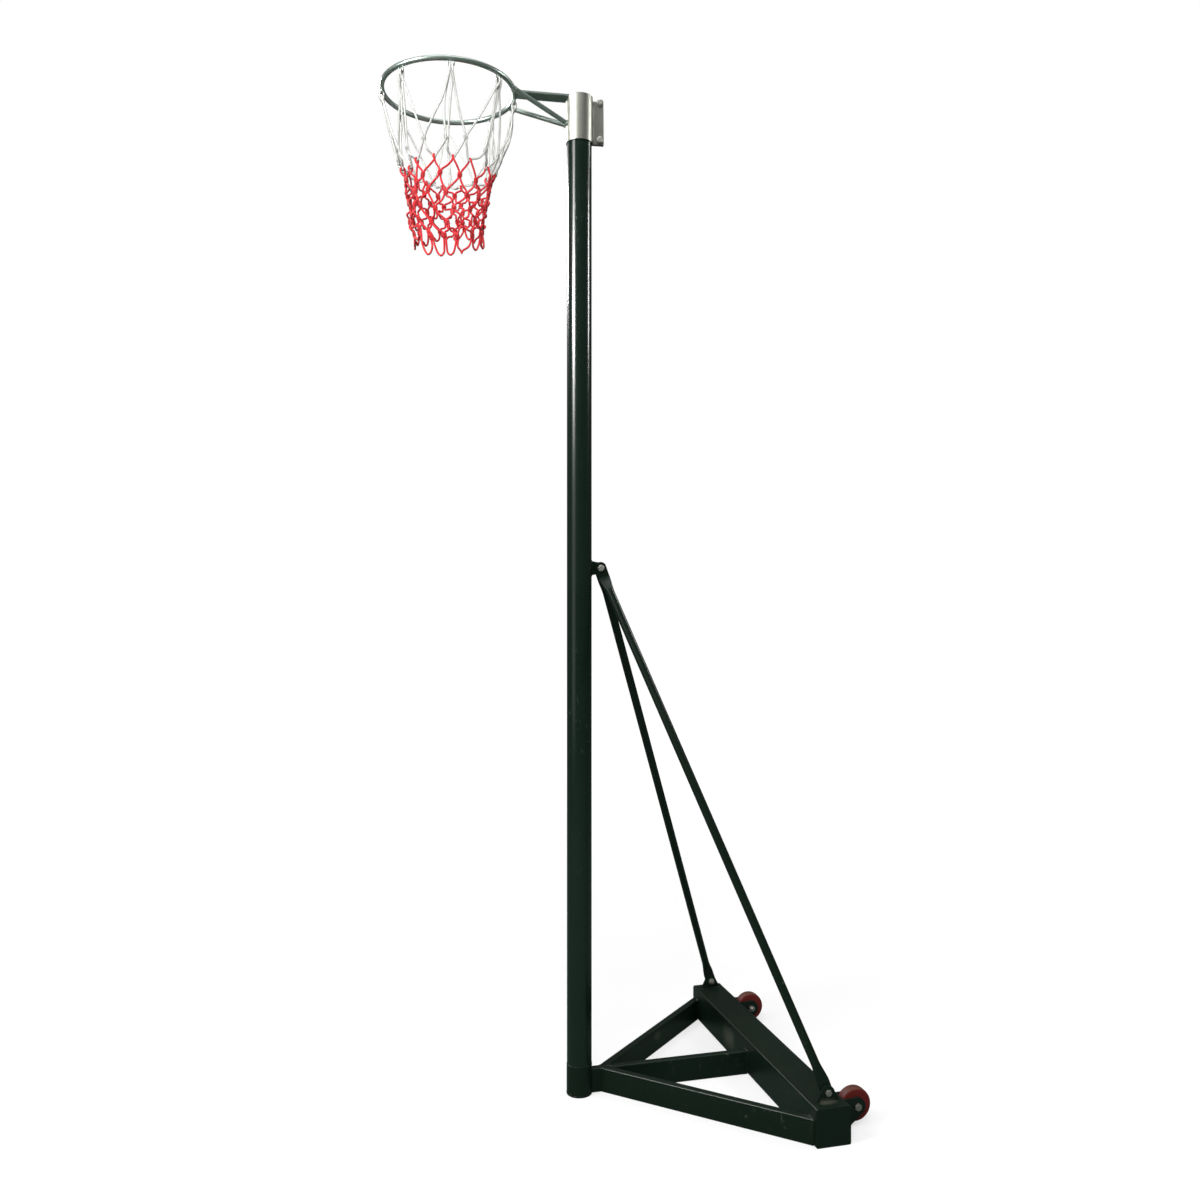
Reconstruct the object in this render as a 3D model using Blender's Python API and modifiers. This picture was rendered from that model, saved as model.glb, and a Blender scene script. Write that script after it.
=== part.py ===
"""A free-standing netball post on a wheeled base.

A round post stands at the apex of a flat triangular base, with a ballasted
cross bar behind it and two stays that brace it. A clamp at its top carries
the ring and its net, and two small wheels behind the bar take the weight
when the post is tipped back to be moved.

Metres, +Z up. The origin is on the floor at the post's axis. The ring is
towards -X, the cross bar and the wheels towards +X. The near side is -Y,
the far side +Y.
"""

from math import acos, asin, atan2, cos, hypot, pi, radians, sin, sqrt, tan

import bmesh
import bpy
from mathutils import Matrix, Vector

# Clearances
GAP = 0.0003  # between pieces that touch
SPIGOT_FIT = 0.0005  # radial, between the spigot and the post's bore
BOLT_FIT = 0.0005  # radial, between a bolt and its hole
AXLE_FIT = 0.0003  # radial, between an axle and its bush
SLEEVE_FIT = 0.0004  # radial, between the clamp sleeve and the post
LOOP_FIT = 0.0004  # between a loop of cord and the bar that it hangs on

# Post and its socket
POST_RADIUS = 0.03805
POST_WALL = 0.0026
POST_TOP = 3.0480
CAP_FLANGE = 0.0025
CAP_PLUG = 0.0200
CAP_FIT = 0.0004  # radial, between the cap's plug and the post's bore
SOCKET_STEP = 0.0010  # how far the socket stands proud of the post
SOCKET_TOP = 0.0940
SPIGOT_WALL = 0.0030
SPIGOT_TOP = 0.3000
FOOT_THICKNESS = 0.0040

# Base frame
FRAME_HEIGHT = 0.0740
FRAME_WIDTH = 0.0250
FRAME_WALL = 0.0025
FRAME_CORNER = 0.0040
LINK_LENGTH = 0.0270  # from the socket to the ends of the legs
LEG_APEX = 0.0530  # from the post's axis to where the legs' outer faces would meet
LEG_INSET = 0.0150  # from the cross bar's end to a leg's outer face
BAR_FRONT = 0.5510  # from the post's axis
BAR_DEPTH = 0.1060
BAR_HEIGHT = 0.1080
BAR_LENGTH = 0.9800
BAR_WALL = 0.0040
BAR_CORNER = 0.0060
BAR_CAP = 0.0040
BALLAST_HEIGHT = 0.0400
BALLAST_FIT = 0.0050  # at each side and end of the ballast

# Stays, and the plates that they are bolted to
BRACKET_THICKNESS = 0.0080
BRACKET_HEIGHT = 0.0560
BRACKET_REACH = 0.0284  # from the post to the bolt
BRACKET_ROUND = 0.0165
BRACKET_Z = 1.6130
LUG_THICKNESS = 0.0080
LUG_FOOT = 0.0700
LUG_RISE = 0.0265  # from the cross bar's top to the bolt
LUG_ROUND = 0.0195
LUG_INSET = 0.0330  # from the cross bar's end to the lug
STAY_RADIUS = 0.0127
STAY_WALL = 0.0020
STAY_SLIT = 0.0006  # what is left of the bore where the ends are pressed flat
STAY_FLAT = 0.0370  # width of the flat ends
STAY_END_ROUND = 0.0195
STAY_FLAT_RUN = 0.0260  # from the bolt to the bend
STAY_FLARE = 0.0600  # from flat to round
STAY_SIDES = 16

# Wheels
WHEEL_RADIUS = 0.0480
WHEEL_WIDTH = 0.0320
WHEEL_INSET = 0.1090  # from the cross bar's end to the middle of a wheel
AXLE_BEHIND = 0.0660  # from the cross bar's rear face
AXLE_Z = 0.0580
TYRE_DEPTH = 0.0225
TYRE_SHOULDER = 0.0060
HUB_RIM = 0.0040
HUB_WEB = 0.0100
HUB_BOSS = 0.0060  # wall of the boss round the bush
BUSH_WALL = 0.0035
SPACER_WALL = 0.0040
SPACER_LENGTH = 0.0034
CHEEK_THICKNESS = 0.0060
CHEEK_ROUND = 0.0250
CHEEK_FOOT = 0.0080  # height of the cheek's flat lower edge
CHEEK_KNEE = 0.0210  # that edge ends this far before the axle

# Fasteners: M10 everywhere but at the wheels, which turn on M12
BOLT_RADIUS = 0.0050
BOLT_ACROSS = 0.0170
BOLT_HEAD = 0.0064
FLANGE_RADIUS = 0.0107  # of the clamp's bolts
FLANGE_THICKNESS = 0.0018
NUT_HEIGHT = 0.0080
WASHER_RADIUS = 0.0105
WASHER_THICKNESS = 0.0020
AXLE_RADIUS = 0.0060
AXLE_ACROSS = 0.0190
AXLE_HEAD = 0.0075
AXLE_NUT = 0.0100
THREAD_FIT = 0.0003  # radial, between a thread and its nut
BOLT_TAIL = 0.0030  # thread beyond the nut

# Ring, its bracket and the clamp; the head is turned a little on the post
HEAD_TURN = radians(-4.7)
RING_TOP = 3.0500
RING_ROD = 0.0075  # radius of the bar
RING_INNER = 0.1900
RING_GAP = 0.15575  # from the post to the ring's outside
ARM_WIDTH = 0.0460
ARM_THICKNESS = 0.0070
ARM_LAP = 0.0075  # past the ring's outside
BRACE_RADIUS = 0.0070
BRACE_SPREAD = 0.1300  # between the braces on the ring
BRACE_MEET = 0.0156  # between the braces on the sleeve
BRACE_DROP = 0.0675
SLEEVE_WALL = 0.0029
SLEEVE_HEIGHT = 0.1410
SLEEVE_SLIT = 0.0040
EAR_THICKNESS = 0.0040
EAR_REACH = 0.0343  # from the sleeve
EAR_CORNER = 0.0050
EAR_NECK = 0.0020  # how far the ears' inner shoulder lies above the upper bolt
EAR_BOLT_SIDE = 0.0120  # from the ears' outer edge
EAR_BOLT_TOP = 0.0108  # from the sleeve's top; also the radius of the ears' lobe
EAR_BOLT_FOOT = 0.0147
HOOK_COUNT = 8
HOOK_ROD = 0.0020
HOOK_SPAN = 0.0180
HOOK_BEND = 0.0050
HOOK_DROP = 0.0205  # from the ring's centre line to the hook's

# Net; a knot's height is between the points where its cords part
CORD_RADIUS = 0.0024
WHITE_KNOTS_Z = 2.8360
WHITE_KNOTS_RADIUS = 0.1550
WHITE_KNOT = 0.0120
WHITE_MESH = 0.0400  # from the first knots to where the red cord hangs
WHITE_END_RADIUS = 0.1330
WHITE_BAR = 0.0050  # half the length of the bars that the red cord hangs on
WHITE_PAIR = 0.0055  # half the space between the two cords of a pair, at its widest
RED_MESH = 0.0446
RED_ROWS = 5
RED_KNOT = 0.0180
NET_MOUTH_RADIUS = 0.1080
NET_LOOP = 0.0490  # from the last knots to the bottom of the net
LOOP_SIDES = 8
WHITE_STEM = 0.0055  # from the middle of a loop's cord down to where the cords part
RED_STEM = 0.0030

# Facets
ROUND = 40
BOLT_SIDES = 16
RING_STEPS = 64
WHEEL_STEPS = 24

# What follows from those
LEG_SPREAD = BAR_LENGTH - 2 * LEG_INSET
WHEEL_SIDE = BAR_LENGTH / 2 - WHEEL_INSET
SPIGOT_RADIUS = POST_RADIUS - POST_WALL - SPIGOT_FIT
SOCKET_RADIUS = POST_RADIUS + SOCKET_STEP
LINK_END = SOCKET_RADIUS + LINK_LENGTH
LEG_ANGLE = atan2(LEG_SPREAD / 2, BAR_FRONT - LEG_APEX)
INNER_APEX = LEG_APEX + FRAME_WIDTH / sin(LEG_ANGLE)
BAR_MIDDLE = BAR_FRONT + BAR_DEPTH / 2
BAR_REAR = BAR_FRONT + BAR_DEPTH
BRACKET_BOLT_X = POST_RADIUS + BRACKET_REACH
LUG_BOLT_Z = BAR_HEIGHT + LUG_RISE
LUG_Y = BAR_LENGTH / 2 - LUG_INSET - LUG_THICKNESS / 2
TAB_THICKNESS = 2 * STAY_WALL + STAY_SLIT
TAB_TOP_Y = BRACKET_THICKNESS / 2 + GAP + TAB_THICKNESS / 2
TAB_FOOT_Y = LUG_Y - LUG_THICKNESS / 2 - GAP - TAB_THICKNESS / 2
AXLE_X = BAR_REAR + AXLE_BEHIND
SPACER_START = WHEEL_WIDTH / 2 + GAP
CHEEK_START = SPACER_START + SPACER_LENGTH + GAP
CHEEK_END = CHEEK_START + CHEEK_THICKNESS
SLEEVE_BORE = POST_RADIUS + SLEEVE_FIT
SLEEVE_RADIUS = SLEEVE_BORE + SLEEVE_WALL
ARM_FOOT = RING_TOP + GAP
SLEEVE_TOP = ARM_FOOT + ARM_THICKNESS
SLEEVE_FOOT = SLEEVE_TOP - SLEEVE_HEIGHT
EAR_END = SLEEVE_RADIUS + EAR_REACH
RING_RADIUS = RING_INNER + RING_ROD
RING_Z = RING_TOP - RING_ROD
RING_NEAREST = -(POST_RADIUS + RING_GAP)
RING_X = RING_NEAREST - RING_ROD - RING_RADIUS
HOOK_Z = RING_Z - HOOK_DROP
CORD_THICKNESS = 2.5 * CORD_RADIUS  # across the corners of a square cord of the same area
RED_START_Z = WHITE_KNOTS_Z - WHITE_KNOT / 2 - WHITE_MESH
NET_KNOTS = 2 * HOOK_COUNT

# Colours: base colour, roughness, metallic
FRAME_PAINT = ((0.010, 0.017, 0.013), 0.32, 0.0)
POST_PAINT = ((0.010, 0.020, 0.016), 0.18, 0.0)
GALVANISED = ((0.56, 0.58, 0.56), 0.34, 1.0)
SATIN_ZINC = ((0.63, 0.62, 0.58), 0.30, 1.0)
BOLT_ZINC = ((0.70, 0.69, 0.64), 0.35, 1.0)
RED_RUBBER = ((0.33, 0.035, 0.030), 0.55, 0.0)
DARK_PLASTIC = ((0.030, 0.030, 0.030), 0.50, 0.0)
BRONZE = ((0.45, 0.28, 0.12), 0.40, 1.0)
BALLAST_STEEL = ((0.12, 0.10, 0.09), 0.70, 1.0)
WHITE_CORD = ((0.82, 0.82, 0.80), 0.80, 0.0)
RED_CORD = ((0.75, 0.045, 0.060), 0.70, 0.0)

X_AXIS = Vector((1, 0, 0))
Y_AXIS = Vector((0, 1, 0))
Z_AXIS = Vector((0, 0, 1))


def new_collection(name):
    made = bpy.data.collections.new(name)
    bpy.context.scene.collection.children.link(made)
    return made


def clear_scene():
    for old in list(bpy.data.objects):
        bpy.data.objects.remove(old, do_unlink=True)


def side_name(side):
    return "near" if side < 0 else "far"


# Placing


def placed(origin, z_axis, y_axis):
    """The matrix that turns a shape's own Z and Y to these directions."""
    z = Vector(z_axis).normalized()
    y = (Vector(y_axis) - z.dot(y_axis) * z).normalized()
    matrix = Matrix((y.cross(z), y, z)).transposed().to_4x4()
    matrix.translation = Vector(origin)
    return matrix


def upright(x, y, z):
    """For a plate whose outline is in X and Z, about this point."""
    return placed((x, y, z), -Y_AXIS, Z_AXIS)


def raised(z):
    return Matrix.Translation((0, 0, z))


def empty(name, matrix):
    made = bpy.data.objects.new(name, None)
    PARTS.objects.link(made)
    made.matrix_world = matrix
    return made


def put(name, mesh, matrix, parent, group):
    made = bpy.data.objects.new(name, mesh)
    group.objects.link(made)
    made.parent = parent
    made.matrix_local = matrix
    return made


def piece(name, mesh, finish, matrix=Matrix(), parent=None):
    """A sub-part, with a material of its own."""
    colour, roughness, metallic = finish
    material = bpy.data.materials.new(name)
    material.use_nodes = True
    shader = material.node_tree.nodes["Principled BSDF"]
    shader.inputs["Base Color"].default_value = (*colour, 1)
    shader.inputs["Roughness"].default_value = roughness
    shader.inputs["Metallic"].default_value = metallic
    mesh.materials.append(material)
    mesh.shade_smooth()
    mesh.set_sharp_from_angle(angle=radians(35))
    return put(name, mesh, matrix, parent, PARTS)


def cutter(name, mesh, matrix=Matrix(), parent=None):
    made = put(name, mesh, matrix, parent, CUTTERS)
    made.hide_render = True
    made.display_type = "WIRE"
    return made


def combine(target, tool, operation="DIFFERENCE"):
    step = target.modifiers.new(tool.name, "BOOLEAN")
    step.operation = operation
    step.object = tool


# Outlines


def arc(centre, radius, start, end, steps):
    """Points from one angle to another, both included."""
    angles = [start + (end - start) * i / steps for i in range(steps + 1)]
    return [(centre[0] + radius * cos(a), centre[1] + radius * sin(a)) for a in angles]


def circle(centre, radius, sides=BOLT_SIDES):
    return arc(centre, radius, 0, 2 * pi, sides)[:-1]


def hexagon(across):
    return circle((0, 0), across / sqrt(3), 6)


def rectangle(low, high):
    return [(low[0], low[1]), (high[0], low[1]), (high[0], high[1]), (low[0], high[1])]


def rounded_rectangle(low, high, radius, steps=3):
    left, foot = low[0] + radius, low[1] + radius
    right, top = high[0] - radius, high[1] - radius
    points = []
    for i, centre in enumerate(((right, top), (left, top), (left, foot), (right, foot))):
        points += arc(centre, radius, i * pi / 2, (i + 1) * pi / 2, steps)
    return points


def rounded_tab(first, last, radius, steps=14):
    """From a straight foot, first to last, along tangents round a circle at the origin."""

    def touch(point, turn):
        return atan2(point[1], point[0]) + turn * acos(radius / hypot(*point))

    start = touch(first, 1)
    end = touch(last, -1)
    if end < start:
        end += 2 * pi
    return [*arc((0, 0), radius, start, end, steps), last, first]


# Meshes


def settled(mesh):
    """Welds a mesh's seams and turns its faces outwards."""
    form = bmesh.new()
    form.from_mesh(mesh)
    bmesh.ops.remove_doubles(form, verts=form.verts, dist=1e-6)
    bmesh.ops.recalc_face_normals(form, faces=form.faces)
    form.to_mesh(mesh)
    form.free()
    return mesh


def from_curve(curve):
    """The curve's surface as a closed mesh."""
    holder = bpy.data.objects.new(curve.name, curve)
    bpy.context.scene.collection.objects.link(holder)
    depsgraph = bpy.context.evaluated_depsgraph_get()
    mesh = bpy.data.meshes.new_from_object(holder.evaluated_get(depsgraph))
    mesh.name = curve.name
    bpy.data.objects.remove(holder, do_unlink=True)
    bpy.data.curves.remove(curve)
    return settled(mesh)


def slab(name, outlines, thickness):
    """A flat outline and the holes in it, given a thickness about Z = 0."""
    curve = bpy.data.curves.new(name, "CURVE")
    curve.dimensions = "2D"
    curve.fill_mode = "BOTH"
    curve.extrude = thickness / 2
    for outline in outlines:
        spline = curve.splines.new("POLY")
        spline.points.add(len(outline) - 1)
        for point, (x, y) in zip(spline.points, outline):
            point.co = (x, y, 0, 1)
        spline.use_cyclic_u = True
    return from_curve(curve)


def wires(name, routes, radius, resolution=1, closed=False):
    """A round wire along each route."""
    curve = bpy.data.curves.new(name, "CURVE")
    curve.dimensions = "3D"
    curve.bevel_depth = radius
    curve.bevel_resolution = resolution
    curve.use_fill_caps = True
    for route in routes:
        spline = curve.splines.new("POLY")
        spline.points.add(len(route) - 1)
        for point, place in zip(spline.points, route):
            point.co = (*place, 1)
        spline.use_cyclic_u = closed
    return from_curve(curve)


def cylinder(name, radius, length, sides=ROUND):
    """Along Z, about the origin."""
    mesh = bpy.data.meshes.new(name)
    form = bmesh.new()
    bmesh.ops.create_cone(form, cap_ends=True, segments=sides, radius1=radius, radius2=radius, depth=length)
    form.to_mesh(mesh)
    form.free()
    return mesh


def box(name, low, high):
    mesh = bpy.data.meshes.new(name)
    size = Vector(high) - Vector(low)
    form = bmesh.new()
    bmesh.ops.create_cube(form, size=1)
    bmesh.ops.scale(form, vec=size, verts=form.verts)
    bmesh.ops.translate(form, vec=Vector(low) + size / 2, verts=form.verts)
    form.to_mesh(mesh)
    form.free()
    return mesh


def box_tube(name, width, height, wall, corner, length):
    """A rectangular hollow section along Z, standing on Y = 0."""
    outer = rounded_rectangle((-width / 2, 0), (width / 2, height), corner)
    inner_low = (wall - width / 2, wall)
    inner_high = (width / 2 - wall, height - wall)
    inner = rounded_rectangle(inner_low, inner_high, max(corner - wall, wall / 4))
    return slab(name, (outer, inner), length)


def turned(name, profile, finish, matrix=Matrix(), parent=None, closed=True, steps=ROUND):
    """A profile of (radius, height) points, top to bottom down its outer side, turned about Z."""
    count = len(profile)
    mesh = bpy.data.meshes.new(name)
    edges = [(i, (i + 1) % count) for i in range(count if closed else count - 1)]
    mesh.from_pydata([(radius, 0, z) for radius, z in profile], edges, [])
    made = piece(name, mesh, finish, matrix, parent)
    screw = made.modifiers.new("Turn", "SCREW")
    screw.steps = steps
    screw.render_steps = steps
    screw.use_merge_vertices = True
    screw.merge_threshold = 0.00001
    return made


def tube(name, radius, bore, foot, top, finish, matrix=Matrix(), parent=None, steps=ROUND):
    profile = [(radius, top), (radius, foot), (bore, foot), (bore, top)]
    return turned(name, profile, finish, matrix, parent, steps=steps)


# Fasteners


def bolt(name, seat, way, reach, radius=BOLT_RADIUS, across=BOLT_ACROSS, head=BOLT_HEAD, flange=0, parent=None):
    """A hexagon bolt whose head sits on seat; reach is from there to its end."""
    root = head / 2  # the shank starts in the middle of the head
    made = piece(
        name, slab(name, (hexagon(across),), head), BOLT_ZINC,
        placed(seat - way * head / 2, way, X_AXIS), parent,
    )
    shank = cutter(
        f"{name}_shank", cylinder(f"{name}_shank", radius, reach + root, BOLT_SIDES),
        placed(seat + way * (reach - root) / 2, way, X_AXIS), parent,
    )
    combine(made, shank, "UNION")
    if flange:
        disc = cutter(
            f"{name}_flange", cylinder(f"{name}_flange", flange, FLANGE_THICKNESS, 24),
            placed(seat - way * FLANGE_THICKNESS / 2, way, X_AXIS), parent,
        )
        combine(made, disc, "UNION")


def nut(name, seat, way, radius=BOLT_RADIUS, across=BOLT_ACROSS, height=NUT_HEIGHT, parent=None):
    outlines = (hexagon(across), circle((0, 0), radius + THREAD_FIT))
    matrix = placed(seat + way * height / 2, way, X_AXIS)
    piece(name, slab(name, outlines, height), BOLT_ZINC, matrix, parent)


def washer(name, seat, way):
    outlines = (circle((0, 0), WASHER_RADIUS, 24), circle((0, 0), BOLT_RADIUS + BOLT_FIT))
    matrix = placed(seat + way * WASHER_THICKNESS / 2, way, X_AXIS)
    piece(name, slab(name, outlines, WASHER_THICKNESS), BOLT_ZINC, matrix)


# Post


def build_post():
    foot = cylinder("foot_plate", SOCKET_RADIUS, FOOT_THICKNESS)
    piece("foot_plate", foot, FRAME_PAINT, raised(FOOT_THICKNESS / 2))
    socket_foot = FOOT_THICKNESS + GAP
    tube("base_socket", SOCKET_RADIUS, SPIGOT_RADIUS + GAP, socket_foot, SOCKET_TOP, FRAME_PAINT)
    tube("post_spigot", SPIGOT_RADIUS, SPIGOT_RADIUS - SPIGOT_WALL, socket_foot, SPIGOT_TOP, FRAME_PAINT)
    bore = POST_RADIUS - POST_WALL
    tube("post_tube", POST_RADIUS, bore, SOCKET_TOP + GAP, POST_TOP, POST_PAINT)
    flange_foot = POST_TOP + GAP
    plug = bore - CAP_FIT
    cap = [
        (0, flange_foot + CAP_FLANGE), (POST_RADIUS, flange_foot + CAP_FLANGE),
        (POST_RADIUS, flange_foot), (plug, flange_foot),
        (plug, flange_foot - CAP_PLUG), (0, flange_foot - CAP_PLUG),
    ]
    turned("post_cap", cap, DARK_PLASTIC, closed=False)


# Base


def build_legs():
    """The link, the two legs and the bar between them, all of one section."""
    section = (FRAME_WIDTH, FRAME_HEIGHT, FRAME_WALL, FRAME_CORNER)
    link_start = SOCKET_RADIUS / 2
    link = piece(
        "socket_link", box_tube("socket_link", *section, LINK_END - link_start), FRAME_PAINT,
        placed(((LINK_END + link_start) / 2, 0, 0), X_AXIS, Z_AXIS),
    )
    socket = cutter("socket_space", cylinder("socket_space", SOCKET_RADIUS + GAP, 4 * FRAME_HEIGHT))
    combine(link, socket)

    bar_face = BAR_FRONT - GAP
    for side in (-1, 1):
        name = f"leg_{side_name(side)}"
        along = Vector((cos(LEG_ANGLE), side * sin(LEG_ANGLE), 0))
        inward = Vector((sin(LEG_ANGLE), -side * cos(LEG_ANGLE), 0))
        length = 2 * hypot(BAR_FRONT, LEG_SPREAD / 2)
        middle = Vector((LEG_APEX, 0, 0)) + inward * FRAME_WIDTH / 2
        leg = piece(name, box_tube(name, *section, length), FRAME_PAINT, placed(middle, along, Z_AXIS))
        reach = LEG_SPREAD
        low = (LINK_END + GAP, min(side * GAP / 2, side * reach), -FRAME_HEIGHT)
        high = (bar_face, max(side * GAP / 2, side * reach), 2 * FRAME_HEIGHT)
        combine(leg, cutter(f"{name}_space", box(f"{name}_space", low, high)), "INTERSECT")

    start = INNER_APEX + GAP / sin(LEG_ANGLE)
    half_spread = (bar_face - start) * tan(LEG_ANGLE)
    wedge = [(start, 0), (bar_face, -half_spread), (bar_face, half_spread)]
    bar = piece(
        "middle_bar", box_tube("middle_bar", *section, 2 * (BAR_FRONT - start)), FRAME_PAINT,
        placed((BAR_FRONT, 0, 0), X_AXIS, Z_AXIS),
    )
    combine(bar, cutter("wedge_space", slab("wedge_space", (wedge,), 4 * FRAME_HEIGHT)), "INTERSECT")


def build_cross_bar():
    length = BAR_LENGTH - 2 * (BAR_CAP + GAP)
    piece(
        "cross_bar", box_tube("cross_bar", BAR_DEPTH, BAR_HEIGHT, BAR_WALL, BAR_CORNER, length), FRAME_PAINT,
        placed((BAR_MIDDLE, 0, 0), Y_AXIS, Z_AXIS),
    )
    outline = rounded_rectangle((-BAR_DEPTH / 2, 0), (BAR_DEPTH / 2, BAR_HEIGHT), BAR_CORNER)
    for side in (-1, 1):
        name = f"bar_cap_{side_name(side)}"
        middle = (BAR_MIDDLE, side * (BAR_LENGTH - BAR_CAP) / 2, 0)
        piece(name, slab(name, (outline,), BAR_CAP), FRAME_PAINT, placed(middle, Y_AXIS, Z_AXIS))
        drop = GAP - LUG_RISE
        lug_outline = rounded_tab((LUG_FOOT / 2, drop), (-LUG_FOOT / 2, drop), LUG_ROUND)
        hole = circle((0, 0), BOLT_RADIUS + BOLT_FIT)
        name = f"stay_lug_{side_name(side)}"
        matrix = upright(BAR_MIDDLE, side * LUG_Y, LUG_BOLT_Z)
        piece(name, slab(name, (lug_outline, hole), LUG_THICKNESS), FRAME_PAINT, matrix)
    half_depth = BAR_DEPTH / 2 - BAR_WALL - BALLAST_FIT
    half_length = length / 2 - BALLAST_FIT
    low = (BAR_MIDDLE - half_depth, -half_length, BAR_WALL + GAP)
    high = (BAR_MIDDLE + half_depth, half_length, BAR_WALL + GAP + BALLAST_HEIGHT)
    piece("ballast_slab", box("ballast_slab", low, high), BALLAST_STEEL)


def build_wheel(side):
    """A wheel on its bush and axle, between two cheeks; its own +Z points outwards."""
    near_or_far = side_name(side)
    out = Vector((0, side, 0))
    axle = empty(f"axle_{near_or_far}", placed((AXLE_X, side * WHEEL_SIDE, AXLE_Z), out, Z_AXIS))
    half = WHEEL_WIDTH / 2
    seat = WHEEL_RADIUS - TYRE_DEPTH

    shoulder = WHEEL_RADIUS - TYRE_SHOULDER
    tread = arc((shoulder, half - TYRE_SHOULDER), TYRE_SHOULDER, pi / 2, 0, 3)
    tread += arc((shoulder, TYRE_SHOULDER - half), TYRE_SHOULDER, 0, -pi / 2, 3)
    turned(f"tyre_{near_or_far}", [*tread, (seat, -half), (seat, half)], RED_RUBBER, parent=axle, steps=WHEEL_STEPS)

    bush_bore = AXLE_RADIUS + AXLE_FIT
    bush = bush_bore + BUSH_WALL
    tube(f"wheel_bush_{near_or_far}", bush, bush_bore, -half, half, BRONZE, parent=axle, steps=BOLT_SIDES)

    hub = seat - GAP
    rim = hub - HUB_RIM
    boss = bush + GAP + HUB_BOSS
    web = HUB_WEB / 2
    profile = [
        (hub, half), (hub, -half), (rim, -half), (rim, -web), (boss, -web), (boss, -half),
        (bush + GAP, -half), (bush + GAP, half), (boss, half), (boss, web), (rim, web), (rim, half),
    ]
    turned(f"wheel_hub_{near_or_far}", profile, DARK_PLASTIC, parent=axle, steps=WHEEL_STEPS)

    bar_face = GAP - AXLE_BEHIND
    lowest = CHEEK_FOOT - AXLE_Z
    outline = rounded_tab((-CHEEK_KNEE, lowest), (bar_face, CHEEK_ROUND), CHEEK_ROUND)
    outline.insert(-1, (bar_face, lowest))
    hole = circle((0, 0), AXLE_RADIUS + BOLT_FIT)
    for face, place in ((1, "outer"), (-1, "inner")):
        name = f"wheel_cheek_{near_or_far}_{place}"
        matrix = upright(AXLE_X, side * (WHEEL_SIDE + face * (CHEEK_START + CHEEK_END) / 2), AXLE_Z)
        piece(name, slab(name, (outline, hole), CHEEK_THICKNESS), FRAME_PAINT, matrix)
        ends = sorted((face * SPACER_START, face * (SPACER_START + SPACER_LENGTH)))
        tube(
            f"wheel_spacer_{near_or_far}_{place}", bush_bore + SPACER_WALL, bush_bore, *ends, BOLT_ZINC,
            parent=axle, steps=BOLT_SIDES,
        )

    seat_z = CHEEK_END + GAP
    size = {"radius": AXLE_RADIUS, "across": AXLE_ACROSS, "parent": axle}
    reach = 2 * seat_z + AXLE_NUT + BOLT_TAIL
    bolt(f"axle_bolt_{near_or_far}", Z_AXIS * seat_z, -Z_AXIS, reach, head=AXLE_HEAD, **size)
    nut(f"axle_nut_{near_or_far}", -Z_AXIS * seat_z, -Z_AXIS, height=AXLE_NUT, **size)


# Stays


def build_post_bracket():
    foot = POST_RADIUS / 2 - BRACKET_BOLT_X
    half = BRACKET_HEIGHT / 2
    outline = rounded_tab((foot, -half), (foot, half), BRACKET_ROUND)
    hole = circle((0, 0), BOLT_RADIUS + BOLT_FIT)
    name = "post_bracket"
    plate = slab(name, (outline, hole), BRACKET_THICKNESS)
    bracket = piece(name, plate, FRAME_PAINT, upright(BRACKET_BOLT_X, 0, BRACKET_Z))
    post = cylinder("post_space", POST_RADIUS + GAP, 2 * BRACKET_HEIGHT)
    combine(bracket, cutter("post_space", post, raised(BRACKET_Z)))


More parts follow.
